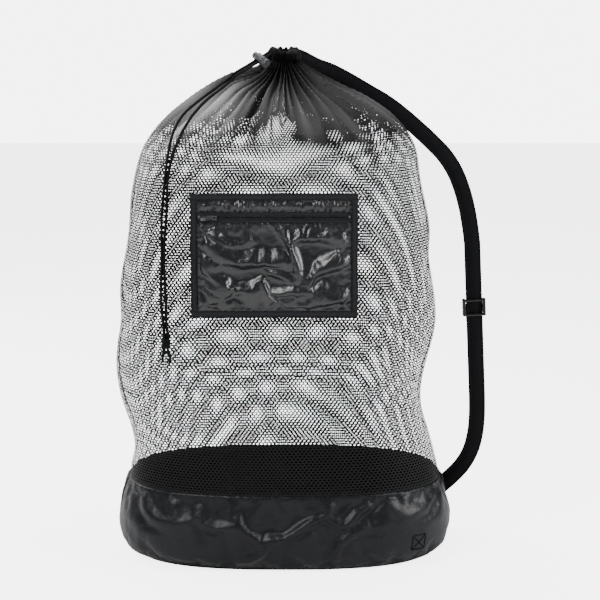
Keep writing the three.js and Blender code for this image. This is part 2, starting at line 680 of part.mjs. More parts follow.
// The pull hangs from a bar through the bail: a bar, two arms beside the bail, and a plate below.
function makePull() {
  const half = pull.width / 2;
  const low = pinMiddle - pull.thickness / 2;
  const armInner = slider.bailHalf + pull.clearance + 0.3;
  const left = bailMiddle - pull.thickness / 2;
  const bar = frontBox(left, left + pull.thickness, zipZ - half, zipZ + half, low, pull.thickness);
  const right = bailMiddle + pull.length;
  const arms = [[armInner, half], [-half, -armInner]].map(([from, to]) =>
    frontBox(left, bailMiddle + pull.armLength, zipZ + from, zipZ + to, low, pull.thickness));
  const plate = frontBox(bailMiddle + pull.plateFrom, right, zipZ - half, zipZ + half, low, pull.thickness);
  return joined(bar, ...arms, plate);
}

add("zip_slider", "metal", makeSlider());
add("zip_pull", "metal", makePull());

// ---- shoulder strap ------------------------------------------------------------------------------------

const toVector = (list) => new THREE.Vector3(...list);

// A place on the strap's back face: across its width, and out towards the front of the bag.
function strapPlace(point, way) {
  const across = way.clone().cross(new THREE.Vector3(0, 1, 0)).normalize();
  return { point, across, out: way.clone().cross(across).normalize(), way };
}

function curvePlaces(lists, steps) {
  const curve = new THREE.CatmullRomCurve3(lists.map(toVector), false, "centripetal");
  const places = [];
  for (let i = 0; i <= steps; i += 1) {
    places.push(strapPlace(curve.getPointAt(i / steps), curve.getTangentAt(i / steps)));
  }
  return places;
}

// The same place moved along the strap and outwards.
function movedPlace(place, along, out) {
  const point = place.point.clone().addScaledVector(place.way, along).addScaledVector(place.out, out);
  return { ...place, point };
}

// Half a turn round a bar, with the band's near face on it: from the out side, by the way side, to the back.
function turnPlaces(place, radius, wayRound) {
  return [90, 54, 18, -18, -54, -90].map(THREE.MathUtils.degToRad).map((turn) => {
    const out = place.way.clone().multiplyScalar(wayRound * Math.cos(turn));
    out.addScaledVector(place.out, Math.sin(turn));
    return { ...place, point: place.point.clone().addScaledVector(out, radius), out };
  });
}

const footPlaces = curvePlaces([strapStraight.bottom, ...strapFoot], 12);
const lastFoot = footPlaces[footPlaces.length - 1];
const ringRadius = ring.bar * Math.SQRT1_2 + ring.clearance;
const upperBar = movedPlace(lastFoot, ring.fromFoot, -ringRadius);
const lowerBar = movedPlace(upperBar, ring.opening + ring.bar, 0);
const ringFrame = placeOn(lastFoot.across, lastFoot.way, lastFoot.out.clone().negate(),
  movedPlace(upperBar, (ring.opening + ring.bar) / 2, 0).point);
const shoulderPlaces = curvePlaces([...strapStart, ...strapShoulder, ...strapSide, strapStraight.top], 26);

add("strap_webbing", "webbing",
  bandGeometry([...shoulderPlaces, ...footPlaces, ...turnPlaces(upperBar, ringRadius, 1)],
    webbing.width, webbing.thickness));

// The adjuster's bars: two in front of the strap and one behind, which holds the strap's returning end.
const straightTop = toVector(strapStraight.top);
const straightWay = toVector(strapStraight.bottom).sub(straightTop).normalize();
const adjusterPoint = straightTop.clone().addScaledVector(straightWay, adjusterAlong);
const adjusterPlace = strapPlace(adjusterPoint, straightWay);
const barRadius = adjuster.bar * Math.SQRT1_2 + ring.clearance;
const centreDepth = layerGap + webbing.thickness + barRadius;
const centreBar = movedPlace(adjusterPlace, 0, -centreDepth);

// The strap's returning layer: from behind the ring up to the adjuster, round its centre bar and a little
// back.
function makeReturnWeb() {
  const places = [movedPlace(upperBar, -gap, -ringRadius - webbing.thickness)];
  footPlaces.slice(1).reverse().forEach((place, i) => {
    const spread = Math.max(0, 1 - (i + 1) / 5) * (2 * ringRadius - layerGap);
    places.push(movedPlace(place, 0, -layerGap - spread - webbing.thickness));
  });
  const straight = strapPlace(footPlaces[0].point, straightWay);
  places.push(movedPlace(straight, 0, -layerGap - webbing.thickness));
  const turned = turnPlaces(centreBar, barRadius, -1);
  const tail = turned[turned.length - 1];
  const tailOut = barRadius * 2 - gap;
  const end = movedPlace(tail, strapTail.far, 0);
  end.point.addScaledVector(centreBar.out, tailOut);
  places.push(...turned, movedPlace(tail, strapTail.near, 0), end);
  return bandGeometry(places, webbing.width, webbing.thickness);
}
add("strap_return_web", "webbing", makeReturnWeb());

// A box in the adjuster's frame: across, along and out, each from low to high.
function adjusterBox(across, along, out) {
  const box = boxGeometry([across[0], along[0], out[0]], [across[1], along[1], out[1]]);
  const back = adjusterPlace.out.clone();
  const up = adjusterPlace.way.clone().negate();
  return box.applyMatrix4(placeOn(adjusterPlace.across, up, back, adjusterPlace.point));
}

function makeAdjuster() {
  const halfWidth = adjuster.width / 2;
  const halfHeight = adjuster.height / 2;
  const opening = webbing.width / 2 + adjuster.clearance;
  const clear = webbing.thickness + adjuster.clearance;
  const front = [clear, clear + adjuster.bar];
  const back = -centreDepth - adjuster.bar / 2;
  const sides = [[-halfWidth, -opening], [opening, halfWidth]].map((across) =>
    adjusterBox(across, [-halfHeight, halfHeight], [back, front[1]]));
  const between = [adjuster.sink - halfWidth, halfWidth - adjuster.sink];
  const bars = [1, -1].map((side) => {
    const along = [side * halfHeight, side * (halfHeight - adjuster.bar)].sort((a, b) => a - b);
    return adjusterBox(between, along, front);
  });
  const centre = adjusterBox(between, [-adjuster.bar / 2, adjuster.bar / 2], [back, back + adjuster.bar]);
  return joined(...sides, ...bars, centre);
}
add("strap_adjuster", "plastic", makeAdjuster());

function makeRing() {
  const halfWidth = webbing.width / 2 + ring.clearance + ring.bar;
  const halfHeight = ring.opening / 2 + ring.bar;
  const outline = roundedRectangle(halfWidth, halfHeight, ring.bar).map(([x, y]) => new THREE.Vector2(x, y));
  const hole = roundedRectangle(halfWidth - ring.bar, ring.opening / 2, 1)
    .map(([x, y]) => new THREE.Vector2(x, y));
  const shape = new THREE.Shape(outline);
  shape.holes.push(new THREE.Path(hole));
  return new THREE.ExtrudeGeometry(shape, { depth: ring.bar, bevelEnabled: false })
    .translate(0, 0, -ring.bar / 2).applyMatrix4(ringFrame);
}
add("strap_ring", "plastic", makeRing());

// The ring's tab: a folded strip round the lower bar, both ends running in to the band it is sewn to.
function makeRingTab() {
  const { across, way, out } = lowerBar;
  const turned = (direction) => direction.clone().applyAxisAngle(across, ringTab.turn);
  const place = { point: lowerBar.point, across, way: turned(way), out: turned(out) };
  const round = turnPlaces(place, ringRadius, -1);
  const ends = [round[0], round[round.length - 1]].map((end) => ({ ...end, point: end.point.clone()
    .addScaledVector(place.way, ringTab.reach) }));
  const strip = bandGeometry([ends[0], ...round, ends[1]], webbing.width, ringTab.thickness);
  return cut(strip, ringShell(bandRows, -gap, 90));
}
add("strap_ring_tab", "webbing", makeRingTab());

// ---- strap anchor on the base --------------------------------------------------------------------------

// The stitched square's middle on the band, and its frame.
function anchorFrame() {
  const right = outlineAt(bandOutline, boxStitch.middleZ)[1];
  const turn = -Math.acos((boxStitch.middleX / right) ** (bodySquareness / 2));
  const out = bagNormal(turn, boxStitch.middleZ);
  const across = new THREE.Vector3(0, 0, 1).cross(out).normalize();
  return placeOn(across, out.clone().cross(across), out, bagPoint(turn, boxStitch.middleZ));
}

// What of a shape, drawn on the band, lies between two depths under its surface.
function onBand(drawing, outerDepth, innerDepth) {
  const shell = solidOf(ringShell(bandRows, outerDepth, innerDepth));
  return geometryOf(solidOf(drawing.applyMatrix4(anchorFrame())).intersect(shell));
}

function makeBoxStitch() {
  const { size, thread } = boxStitch;
  const bar = (length, angle, x, y) =>
    new THREE.BoxGeometry(length, thread, 30).rotateZ(THREE.MathUtils.degToRad(angle)).translate(x, y, 0);
  const half = size / 2;
  const side = size + thread;
  const bars = [
    bar(side, 0, 0, half), bar(side, 0, 0, -half), bar(side, 90, half, 0), bar(side, 90, -half, 0),
  ];
  const diagonal = size * Math.SQRT2;
  return joined(...bars, bar(diagonal, 45, 0, 0), bar(diagonal, -45, 0, 0));
}
const stitchDepth = -gap - boxStitch.proud;
add("box_x_stitch", "thread", onBand(makeBoxStitch(), stitchDepth, -gap));
const patch = new THREE.BoxGeometry(anchorPatch.size, anchorPatch.size, 30);
add("strap_anchor_patch", "webbing", onBand(patch, tapeDepth, tapeDepth + anchorPatch.thickness));

export default bag;
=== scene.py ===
import bpy
import bmesh
import math
import numpy as np
from mathutils import Matrix, Vector, noise
from mathutils.bvhtree import BVHTree


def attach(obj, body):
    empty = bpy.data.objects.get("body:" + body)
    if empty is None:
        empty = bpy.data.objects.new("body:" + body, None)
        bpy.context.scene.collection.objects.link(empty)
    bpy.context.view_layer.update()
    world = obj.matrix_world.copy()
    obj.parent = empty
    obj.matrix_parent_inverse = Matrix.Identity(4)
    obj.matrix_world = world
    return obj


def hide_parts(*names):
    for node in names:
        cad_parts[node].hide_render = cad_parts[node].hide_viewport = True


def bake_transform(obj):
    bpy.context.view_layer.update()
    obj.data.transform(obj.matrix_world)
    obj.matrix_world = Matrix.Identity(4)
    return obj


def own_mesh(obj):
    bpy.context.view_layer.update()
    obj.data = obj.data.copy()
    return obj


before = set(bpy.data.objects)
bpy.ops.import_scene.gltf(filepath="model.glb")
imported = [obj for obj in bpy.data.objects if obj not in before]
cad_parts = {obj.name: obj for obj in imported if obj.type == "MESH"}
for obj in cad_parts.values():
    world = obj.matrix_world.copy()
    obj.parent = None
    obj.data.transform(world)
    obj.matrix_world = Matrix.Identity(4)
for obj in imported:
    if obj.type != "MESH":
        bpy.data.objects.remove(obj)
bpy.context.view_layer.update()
print("frame loaded:", len(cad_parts), "nodes")

mm = 0.001

# ---- camera, light and floor ----

view = {
    "target": (0.028, 0.0, 0.458),
    "distance": 3.4,
    "elevation": math.radians(10.8),
    "seenWidth": 1.08,  # metres across the frame at the target
}


def makeCamera():
    camera = bpy.data.cameras.new("viewCamera")
    camera.sensor_width = 36
    camera.lens = camera.sensor_width * view["distance"] / view["seenWidth"]
    holder = bpy.data.objects.new("viewCamera", camera)
    bpy.context.scene.collection.objects.link(holder)
    target = Vector(view["target"])
    away = Vector((0, -math.cos(view["elevation"]), math.sin(view["elevation"])))
    holder.location = target + away * view["distance"]
    holder.rotation_euler = (-away).to_track_quat("-Z", "Y").to_euler()
    bpy.context.scene.camera = holder


studio = {
    "lamps": {
        "keyLight": {"place": (-1.7, -2.0, 2.5), "size": 1.3, "power": 95},
        "sideLight": {"place": (2.4, -1.0, 1.3), "size": 1.1, "power": 75},
        "topLight": {"place": (0.0, 0.6, 2.9), "size": 2.0, "power": 60},
        "rimLight": {"place": (-2.0, 1.4, 1.4), "size": 1.4, "power": 55},
    },
    "aim": (0, 0, 0.45),
    "worldLight": 0.15,
    "worldSeen": 6.0,
    "floorSize": 14.0,
    "floorGlow": 4.2,  # seen by the camera only
    "floorDrop": 0.0008,
}


def makeLights():
    for name, facts in studio["lamps"].items():
        lamp = bpy.data.lights.new(name, "AREA")
        lamp.size = facts["size"]
        lamp.energy = facts["power"]
        holder = bpy.data.objects.new(name, lamp)
        bpy.context.scene.collection.objects.link(holder)
        holder.location = facts["place"]
        way = Vector(studio["aim"]) - Vector(facts["place"])
        holder.rotation_euler = way.to_track_quat("-Z", "Y").to_euler()
    world = bpy.data.worlds.new("studioWorld")
    bpy.context.scene.world = world
    world.use_nodes = True
    tree = world.node_tree
    background = tree.nodes["Background"]
    background.inputs["Color"].default_value = (1, 1, 1, 1)
    path = tree.nodes.new("ShaderNodeLightPath")
    span = tree.nodes.new("ShaderNodeMapRange")
    span.inputs["To Min"].default_value = studio["worldLight"]
    span.inputs["To Max"].default_value = studio["worldSeen"]
    tree.links.new(path.outputs["Is Camera Ray"], span.inputs["Value"])
    tree.links.new(span.outputs["Result"], background.inputs["Strength"])


# ---- node helpers ----

def newMaterial(name):
    material = bpy.data.materials.new(name)
    material.use_nodes = True
    tree = material.node_tree
    shader = tree.nodes["Principled BSDF"]
    return material, tree, shader


def addNode(tree, kind, values=None, **settings):
    node = tree.nodes.new(kind)
    for key, value in settings.items():
        setattr(node, key, value)
    for key, value in (values or {}).items():
        node.inputs[key].default_value = value
    return node


def wire(tree, source, target):
    tree.links.new(source, target)


def groupSockets(tree, inputs, outputs):
    kinds = {"color": "NodeSocketColor", "value": "NodeSocketFloat", "vector": "NodeSocketVector"}
    for name, kind, start in inputs:
        socket = tree.interface.new_socket(name=name, in_out="INPUT", socket_type=kinds[kind])
        if start is not None:
            socket.default_value = start
    for name, kind in outputs:
        tree.interface.new_socket(name=name, in_out="OUTPUT", socket_type=kinds[kind])
    return tree.nodes.new("NodeGroupInput"), tree.nodes.new("NodeGroupOutput")


def mathNode(tree, operation, first, second=None, third=None):
    node = addNode(tree, "ShaderNodeMath", operation=operation)
    for slot, value in enumerate((first, second, third)):
        if value is None:
            continue
        if isinstance(value, (int, float)):
            node.inputs[slot].default_value = value
        else:
            wire(tree, value, node.inputs[slot])
    return node.outputs[0]


def objectNoise(tree, values):
    place = addNode(tree, "ShaderNodeTexCoord")
    grain = addNode(tree, "ShaderNodeTexNoise", values)
    wire(tree, place.outputs["Object"], grain.inputs["Vector"])
    return grain.outputs["Fac"]


# A weave: threads over and under along two directions, from a vector counted in threads.
def makeWeaveGroup():
    tree = bpy.data.node_groups.new("weaveEffect", "ShaderNodeTree")
    start, end = groupSockets(
        tree,
        [("Vector", "vector", None), ("Across", "value", 1.0), ("Along", "value", 1.0)],
        [("Height", "value"), ("Gap", "value")],
    )
    parts = addNode(tree, "ShaderNodeSeparateXYZ")
    wire(tree, start.outputs["Vector"], parts.inputs[0])
    across = mathNode(tree, "MULTIPLY", parts.outputs["X"], start.outputs["Across"])
    along = mathNode(tree, "MULTIPLY", parts.outputs["Y"], start.outputs["Along"])
    waveX = mathNode(tree, "SINE", mathNode(tree, "MULTIPLY", across, math.pi))
    waveY = mathNode(tree, "SINE", mathNode(tree, "MULTIPLY", along, math.pi))
    checker = mathNode(tree, "MULTIPLY", waveX, waveY)
    over = mathNode(tree, "MULTIPLY_ADD", checker, 0.5, 0.5)
    ridgeX = mathNode(tree, "ABSOLUTE", waveX)
    ridgeY = mathNode(tree, "ABSOLUTE", waveY)
    ridge = mathNode(tree, "MULTIPLY", ridgeX, ridgeY)
    height = mathNode(tree, "MULTIPLY_ADD", over, 0.5, mathNode(tree, "MULTIPLY", ridge, 0.5))
    wire(tree, height, end.inputs["Height"])
    wire(tree, mathNode(tree, "SUBTRACT", 1.0, ridge), end.inputs["Gap"])
    return tree


# Dust and slight fading: two scales of noise on the object's own coordinates.
def makeFadeGroup():
    tree = bpy.data.node_groups.new("fadeEffect", "ShaderNodeTree")
    start, end = groupSockets(
        tree,
        [("Color", "color", (0.05, 0.05, 0.05, 1)), ("Faded", "color", (0.1, 0.1, 0.1, 1)), ("Amount", "value", 0.3)],
        [("Color", "color"), ("Mask", "value")],
    )
    broad = objectNoise(tree, {"Scale": 9.0, "Detail": 4.0, "Roughness": 0.6})
    fine = objectNoise(tree, {"Scale": 140.0, "Detail": 3.0, "Roughness": 0.7})
    both = mathNode(tree, "MULTIPLY_ADD", broad, 0.7, mathNode(tree, "MULTIPLY", fine, 0.3))
    spread = addNode(tree, "ShaderNodeMapRange", {"From Min": 0.35, "From Max": 0.65})
    wire(tree, both, spread.inputs["Value"])
    mask = mathNode(tree, "MULTIPLY", spread.outputs["Result"], start.outputs["Amount"])
    mix = addNode(tree, "ShaderNodeMix", data_type="RGBA")
    wire(tree, mask, mix.inputs[0])
    wire(tree, start.outputs["Color"], mix.inputs[6])
    wire(tree, start.outputs["Faded"], mix.inputs[7])
    wire(tree, mix.outputs[2], end.inputs["Color"])
    wire(tree, mask, end.inputs["Mask"])
    return tree


weaveGroup = makeWeaveGroup()
fadeGroup = makeFadeGroup()


def useGroup(tree, group, values=None):
    node = tree.nodes.new("ShaderNodeGroup")
    node.node_tree = group
    for key, value in (values or {}).items():
        node.inputs[key].default_value = value
    return node


def fadedColor(tree, color, faded, amount):
    return useGroup(tree, fadeGroup, {"Color": (*color, 1), "Faded": (*faded, 1), "Amount": amount})


def roughFrom(tree, shader, fade, low, high):
    rough = addNode(tree, "ShaderNodeMapRange", {"To Min": low, "To Max": high})
    wire(tree, fade.outputs["Mask"], rough.inputs["Value"])
    wire(tree, rough.outputs["Result"], shader.inputs["Roughness"])


def weaveOf(tree, across, along):
    place = addNode(tree, "ShaderNodeUVMap", uv_map="clothUV")
    weave = useGroup(tree, weaveGroup, {"Across": across, "Along": along})
    wire(tree, place.outputs["UV"], weave.inputs["Vector"])
    return weave


def bumpInto(tree, shader, height, strength, distance, before=None):
    bump = addNode(tree, "ShaderNodeBump", {"Strength": strength, "Distance": distance})
    wire(tree, height, bump.inputs["Height"])
    if before is not None:
        wire(tree, before, bump.inputs["Normal"])
    wire(tree, bump.outputs["Normal"], shader.inputs["Normal"])
    return bump.outputs["Normal"]


# ---- materials ----

def makeNettingMaterial():
    material, tree, shader = newMaterial("nettingYarn")
    shader.inputs["Roughness"].default_value = 0.5
    shader.inputs["Specular IOR Level"].default_value = 0.16
    # painted light: a per-point share mixes the near-black yarn towards mid grey, a painted highlight on the lit
    # outsides of the crown's pleats and a paler painted side of the crown
    paintedLight = addNode(tree, "ShaderNodeAttribute", attribute_name="paintedLight")
    fade = fadedColor(tree, (0.003, 0.003, 0.0035), (0.006, 0.006, 0.007), 0.6)
    mix = addNode(tree, "ShaderNodeMix", {7: (0.4, 0.4, 0.405, 1)}, data_type="RGBA")
    wire(tree, paintedLight.outputs["Fac"], mix.inputs[0])
    wire(tree, fade.outputs["Color"], mix.inputs[6])
    wire(tree, mix.outputs[2], shader.inputs["Base Color"])
    bumpInto(tree, shader, objectNoise(tree, {"Scale": 1800.0, "Detail": 2.0}), 0.5, 0.0002)
    return material


def makeClothMaterial(name, color, faded, roughness, threads, shine):
    material, tree, shader = newMaterial(name)
    shader.inputs["Specular IOR Level"].default_value = shine
    fade = fadedColor(tree, color, faded, 0.55)
    wire(tree, fade.outputs["Color"], shader.inputs["Base Color"])
    roughFrom(tree, shader, fade, roughness, roughness + 0.16)
    crease = objectNoise(tree, {"Scale": 30.0, "Detail": 5.0, "Roughness": 0.62, "Distortion": 1.1})
    creased = bumpInto(tree, shader, crease, 0.5, 0.0028)
    bumpInto(tree, shader, weaveOf(tree, threads, threads).outputs["Height"], 0.3, 0.0001, creased)
    return material


def makeWebbingMaterial(name, color, faded, across, along):
    material, tree, shader = newMaterial(name)
    shader.inputs["Roughness"].default_value = 0.5
    shader.inputs["Specular IOR Level"].default_value = 0.1
    weave = weaveOf(tree, across, along)
    fade = fadedColor(tree, color, faded, 0.5)
    # painted shade: the colour falls towards 0.3 of itself in the weave's gaps, where the threads dip under each other
    gapShade = addNode(tree, "ShaderNodeMix", {7: (*(part * 0.3 for part in color), 1)}, data_type="RGBA")
    wire(tree, mathNode(tree, "MULTIPLY", weave.outputs["Gap"], 0.6), gapShade.inputs[0])
    wire(tree, fade.outputs["Color"], gapShade.inputs[6])
    wire(tree, gapShade.outputs[2], shader.inputs["Base Color"])
    bumpInto(tree, shader, weave.outputs["Height"], 0.8, 0.0004)
    return material


def makePlasticMaterial(name, color, faded):
    material, tree, shader = newMaterial(name)
    shader.inputs["Specular IOR Level"].default_value = 0.4
    fade = fadedColor(tree, color, faded, 0.5)
    wire(tree, fade.outputs["Color"], shader.inputs["Base Color"])
    roughFrom(tree, shader, fade, 0.3, 0.48)
    bumpInto(tree, shader, objectNoise(tree, {"Scale": 2600.0, "Detail": 2.0}), 0.25, 0.0001)
    return material


def makeMetalMaterial(name, color, faded):
    material, tree, shader = newMaterial(name)
    shader.inputs["Metallic"].default_value = 1.0
    fade = fadedColor(tree, color, faded, 0.5)
    wire(tree, fade.outputs["Color"], shader.inputs["Base Color"])
    roughFrom(tree, shader, fade, 0.16, 0.42)
    bumpInto(tree, shader, objectNoise(tree, {"Scale": 900.0, "Detail": 3.0, "Distortion": 1.5}), 0.12, 0.00008)
    return material


def makeFloorMaterial():
    material, tree, shader = newMaterial("paleFloor")
    shader.inputs["Base Color"].default_value = (0.9, 0.9, 0.9, 1)
    shader.inputs["Roughness"].default_value = 0.8
    shader.inputs["Specular IOR Level"].default_value = 0.1
    shader.inputs["Emission Color"].default_value = (1, 1, 1, 1)
    path = addNode(tree, "ShaderNodeLightPath")
    glow = mathNode(tree, "MULTIPLY", path.outputs["Is Camera Ray"], studio["floorGlow"])
    wire(tree, glow, shader.inputs["Emission Strength"])
    return material


netting = makeNettingMaterial()
coatedCloth = makeClothMaterial(
    "coatedCloth", (0.0035, 0.0038, 0.0052), (0.009, 0.0098, 0.0125), roughness=0.34, threads=2200.0, shine=0.25)
satinCloth = makeClothMaterial(
    "satinCloth", (0.005, 0.0054, 0.0068), (0.01, 0.0108, 0.013), roughness=0.25, threads=2600.0, shine=0.62)
hemCloth = makeClothMaterial(
    "hemCloth", (0.003, 0.003, 0.0035), (0.008, 0.008, 0.009), roughness=0.5, threads=1500.0, shine=0.2)
tapeCloth = makeWebbingMaterial("bindingTape", (0.017, 0.018, 0.0205), (0.027, 0.028, 0.031), 1400.0, 1400.0)
webbingCloth = makeWebbingMaterial("strapWebbing", (0.0026, 0.0027, 0.0038), (0.0055, 0.0057, 0.0076), 900.0, 640.0)
cordYarn = makeWebbingMaterial("braidedCord", (0.003, 0.003, 0.0034), (0.007, 0.007, 0.0076), 1.0, 1.0)
sewingThread = makeWebbingMaterial("sewingThread", (0.004, 0.004, 0.0045), (0.009, 0.009, 0.01), 3000.0, 3000.0)
plastic = makePlasticMaterial("mouldedPlastic", (0.005, 0.0052, 0.006), (0.012, 0.0124, 0.0136))
lockPlastic = makePlasticMaterial("lockPlastic", (0.04, 0.041, 0.044), (0.075, 0.076, 0.08))
sliderMetal = makeMetalMaterial("darkMetal", (0.10, 0.10, 0.105), (0.2, 0.2, 0.205))
print("materials made")

# ---- mesh helpers ----


def unit(vectors):
    return vectors / np.linalg.norm(vectors, axis=-1, keepdims=True)


# How far along a run of points each one stands.
def travelled(points):
    return np.concatenate([[0], np.cumsum(np.linalg.norm(np.diff(points, axis=0), axis=1))])


def hand(holder, slot, *nodes, body="bag"):
    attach(holder, body)
    if nodes:
        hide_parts(*nodes)
    return holder


def meshObject(name, points, faces, material, uv=None):
    mesh = bpy.data.meshes.new(name)
    points = np.asarray(points, dtype=float)
    mesh.from_pydata(points.tolist(), [], [list(map(int, face)) for face in faces])
    mesh.materials.append(material)
    if uv is not None:
        layer = mesh.uv_layers.new(name="clothUV")
        corners = np.empty(len(mesh.loops), dtype=np.int32)
        mesh.loops.foreach_get("vertex_index", corners)
        layer.data.foreach_set("uv", np.asarray(uv, dtype=np.float32)[corners].ravel())
    mesh.polygons.foreach_set("use_smooth", [True] * len(mesh.polygons))
    mesh.update()
    holder = bpy.data.objects.new(name, mesh)
    bpy.context.scene.collection.objects.link(holder)
    return holder


def gridFaces(columns, rows, closed=False):
    wide = columns if closed else columns + 1
    uu, vv = np.meshgrid(np.arange(columns), np.arange(rows), indexing="ij")
    a = vv * wide + uu
    b = vv * wide + (uu + 1) % wide
    c = (vv + 1) * wide + (uu + 1) % wide
    d = (vv + 1) * wide + uu
    return np.stack([a, b, c, d], -1).reshape(-1, 4)


def smoothstep(value, low, high):
    t = np.clip((np.asarray(value, dtype=float) - low) / (high - low), 0, 1)
    return t * t * (3 - 2 * t)


def frameAlong(points):
    points = np.asarray(points, dtype=float)
    ways = unit(np.gradient(points, axis=0))
    side = np.cross(ways[0], (0.0, 0.0, 1.0))
    if np.linalg.norm(side) < 0.2:
        side = np.cross(ways[0], (1.0, 0.0, 0.0))
    sides = [unit(side)]
    for way in ways[1:]:
        sides.append(unit(sides[-1] - way * np.dot(sides[-1], way)))
    sides = np.array(sides)
    return sides, np.cross(ways, sides)


# Centripetal Catmull-Rom curve through points, at even spacing.
def curveThrough(knots, spacing):
    knots = np.asarray(knots, dtype=float)
    ends = np.vstack([2 * knots[0] - knots[1], knots, 2 * knots[-1] - knots[-2]])
    fine = []
    for i in range(1, len(ends) - 2):
        p = ends[i - 1 : i + 3]
        t = [0.0]
        for a, b in zip(p[:-1], p[1:]):
            t.append(t[-1] + max(np.linalg.norm(b - a), 1e-9) ** 0.5)

        def mixed(x, low, high, first, second):
            return (t[high] - x) / (t[high] - t[low]) * first + (x - t[low]) / (t[high] - t[low]) * second

        for x in np.linspace(t[1], t[2], 24, endpoint=False):
            a1, a2, a3 = (mixed(x, k, k + 1, p[k], p[k + 1]) for k in range(3))
            fine.append(mixed(x, 1, 2, mixed(x, 0, 2, a1, a2), mixed(x, 1, 3, a2, a3)))
    fine.append(knots[-1])
    fine = np.array(fine)
    along = travelled(fine)
    count = max(2, int(round(along[-1] / spacing)) + 1)
    even = np.linspace(0, along[-1], count)
    return np.stack([np.interp(even, along, fine[:, k]) for k in range(3)], 1)


# A closed round tube along points, with capped ends; UV counts braid strands round and along.
def tubeObject(name, path, radius, material, sides=12, strands=8):
    path = np.asarray(path, dtype=float)
    left, up = frameAlong(path)
    turns = np.linspace(0, 2 * math.pi, sides, endpoint=False)
    radii = np.broadcast_to(radius, len(path))
    points = np.vstack([
        path[i] + radii[i] * (np.cos(turns)[:, None] * left[i] + np.sin(turns)[:, None] * up[i])
        for i in range(len(path))
    ])
    lift = travelled(path) / (np.mean(radii) * 2 * math.pi / strands)
    uv = np.array([[strands * k / sides, lift[i]] for i in range(len(path)) for k in range(sides)])
    uv = np.stack([uv[:, 0] + uv[:, 1], uv[:, 1] - uv[:, 0]], 1)
    rows = len(path) - 1
    faces = gridFaces(sides, rows, closed=True).tolist()
    points = np.vstack([points, path[0], path[-1]])
    uv = np.vstack([uv, [0, 0], [0, lift[-1]]])
    first, last = len(points) - 2, len(points) - 1
    for k in range(sides):
        faces.append([first, (k + 1) % sides, k])
        faces.append([last, rows * sides + k, rows * sides + (k + 1) % sides])
    return meshObject(name, points, faces, material, uv)


def faceOut(holder):
    mesh = bmesh.new()
    mesh.from_mesh(holder.data)
    bmesh.ops.remove_doubles(mesh, verts=mesh.verts, dist=1e-6)
    bmesh.ops.recalc_face_normals(mesh, faces=mesh.faces)
    mesh.to_mesh(holder.data)
    mesh.free()


def applyModifiers(holder):
    for chosen in bpy.context.selected_objects:
        chosen.select_set(False)
    bpy.context.view_layer.objects.active = holder
    holder.select_set(True)
    for modifier in list(holder.modifiers):
        bpy.ops.object.modifier_apply(modifier=modifier.name)
    holder.select_set(False)


# ---- the bag's surface, in metres: height, half width left, half width right, half depth ----

bag = {
    "band": np.array([
        [0, 262, 262, 148], [10, 280, 280, 160], [32, 293, 293, 169], [70, 296, 296, 172],
        [108, 290, 290, 170], [140, 281, 281, 167],
    ]) * mm,
    "net": np.array([
        [140, 281, 281, 167], [200, 277, 268, 167], [300, 292, 250, 170], [420, 292, 262, 172],
        [560, 278, 256, 172], [680, 264, 240, 166], [740, 246, 230, 153], [790, 208, 196, 128],
        [825, 166, 148, 101], [850, 128, 96, 72], [868, 92, 62, 46], [880, 60, 42, 33], [888, 31, 30, 29],
    ]) * mm,
    "squareness": 2.6,
    "neckSquareness": 2.0,
    "squareUpTo": 0.69,
    "frontFlat": 0.152,
    "flatSoftness": 0.005,
    "flatReach": (0.107 + 0.045, 0.06),
    "pocketMiddle": (-0.016, 0.564),
    "lockPoint": (-0.0411, -0.0257, 0.8906),
    "lockDent": (0.013, 0.062),
}
bandHeight = bag["band"][-1, 0]
neckHeight = bag["net"][-1, 0]


def outlineAt(outline, height):
    last = len(outline) - 1
    i = np.clip(np.searchsorted(outline[:, 0], height, side="left") - 1, 0, last - 1)
    slopes = np.array([
        (outline[min(k + 1, last)] - outline[max(k - 1, 0)])
        / (outline[min(k + 1, last), 0] - outline[max(k - 1, 0), 0]) for k in range(last + 1)
    ])
    span = outline[i + 1, 0] - outline[i, 0]
    t = np.clip((height - outline[i, 0]) / span, 0, 1)
    a, b = 2 * t**3 - 3 * t**2 + 1, t**3 - 2 * t**2 + t
    c, d = 3 * t**2 - 2 * t**3, t**3 - t**2
    return [
        a * outline[i, k] + b * span * slopes[i, k] + c * outline[i + 1, k] + d * span * slopes[i + 1, k]
        for k in (1, 2, 3)
    ]


# A point of the plain outer surface: turn runs round from +X, height up the bag.
def bagPoint(turn, height):
    turn, height = np.broadcast_arrays(np.asarray(turn, float), np.asarray(height, float))
    low = outlineAt(bag["band"], height)
    high = outlineAt(bag["net"], height)
    left, right, depth = (np.where(height < bandHeight, a, b) for a, b in zip(low, high))
    toNeck = smoothstep(height, bag["squareUpTo"], neckHeight)
    power = 2 / (bag["squareness"] + (bag["neckSquareness"] - bag["squareness"]) * toNeck)
    c, s = np.cos(turn), np.sin(turn)
    x = np.sign(c) * np.abs(c) ** power * np.where(c < 0, left, right)
    y = np.sign(s) * np.abs(s) ** power * depth
    limit, soft = bag["frontFlat"], bag["flatSoftness"]
    value = np.maximum(-y, 0)
    eased = np.where(value <= limit - soft, value, limit - soft * np.exp(-(value - limit + soft) / soft))
    reach, fade = bag["flatReach"]
    away = np.maximum(0, np.abs(height - bag["pocketMiddle"][1]) - reach) / fade
    share = smoothstep(away, 0, 1)
    y = np.where(y < 0, -eased * (1 - share) + y * share, y)
    z = height.copy()
    lock = bag["lockPoint"]
    toLock = np.hypot(x - lock[0], y - lock[1]) / bag["lockDent"][1]
    dent = bag["lockDent"][0] * np.clip(1 - toLock**2, 0, 1) ** 2 * smoothstep(neckHeight - height, 0, 0.008)
    z = z - np.where(height > bag["squareUpTo"], dent, 0)
    return np.stack([x, y, z], -1)


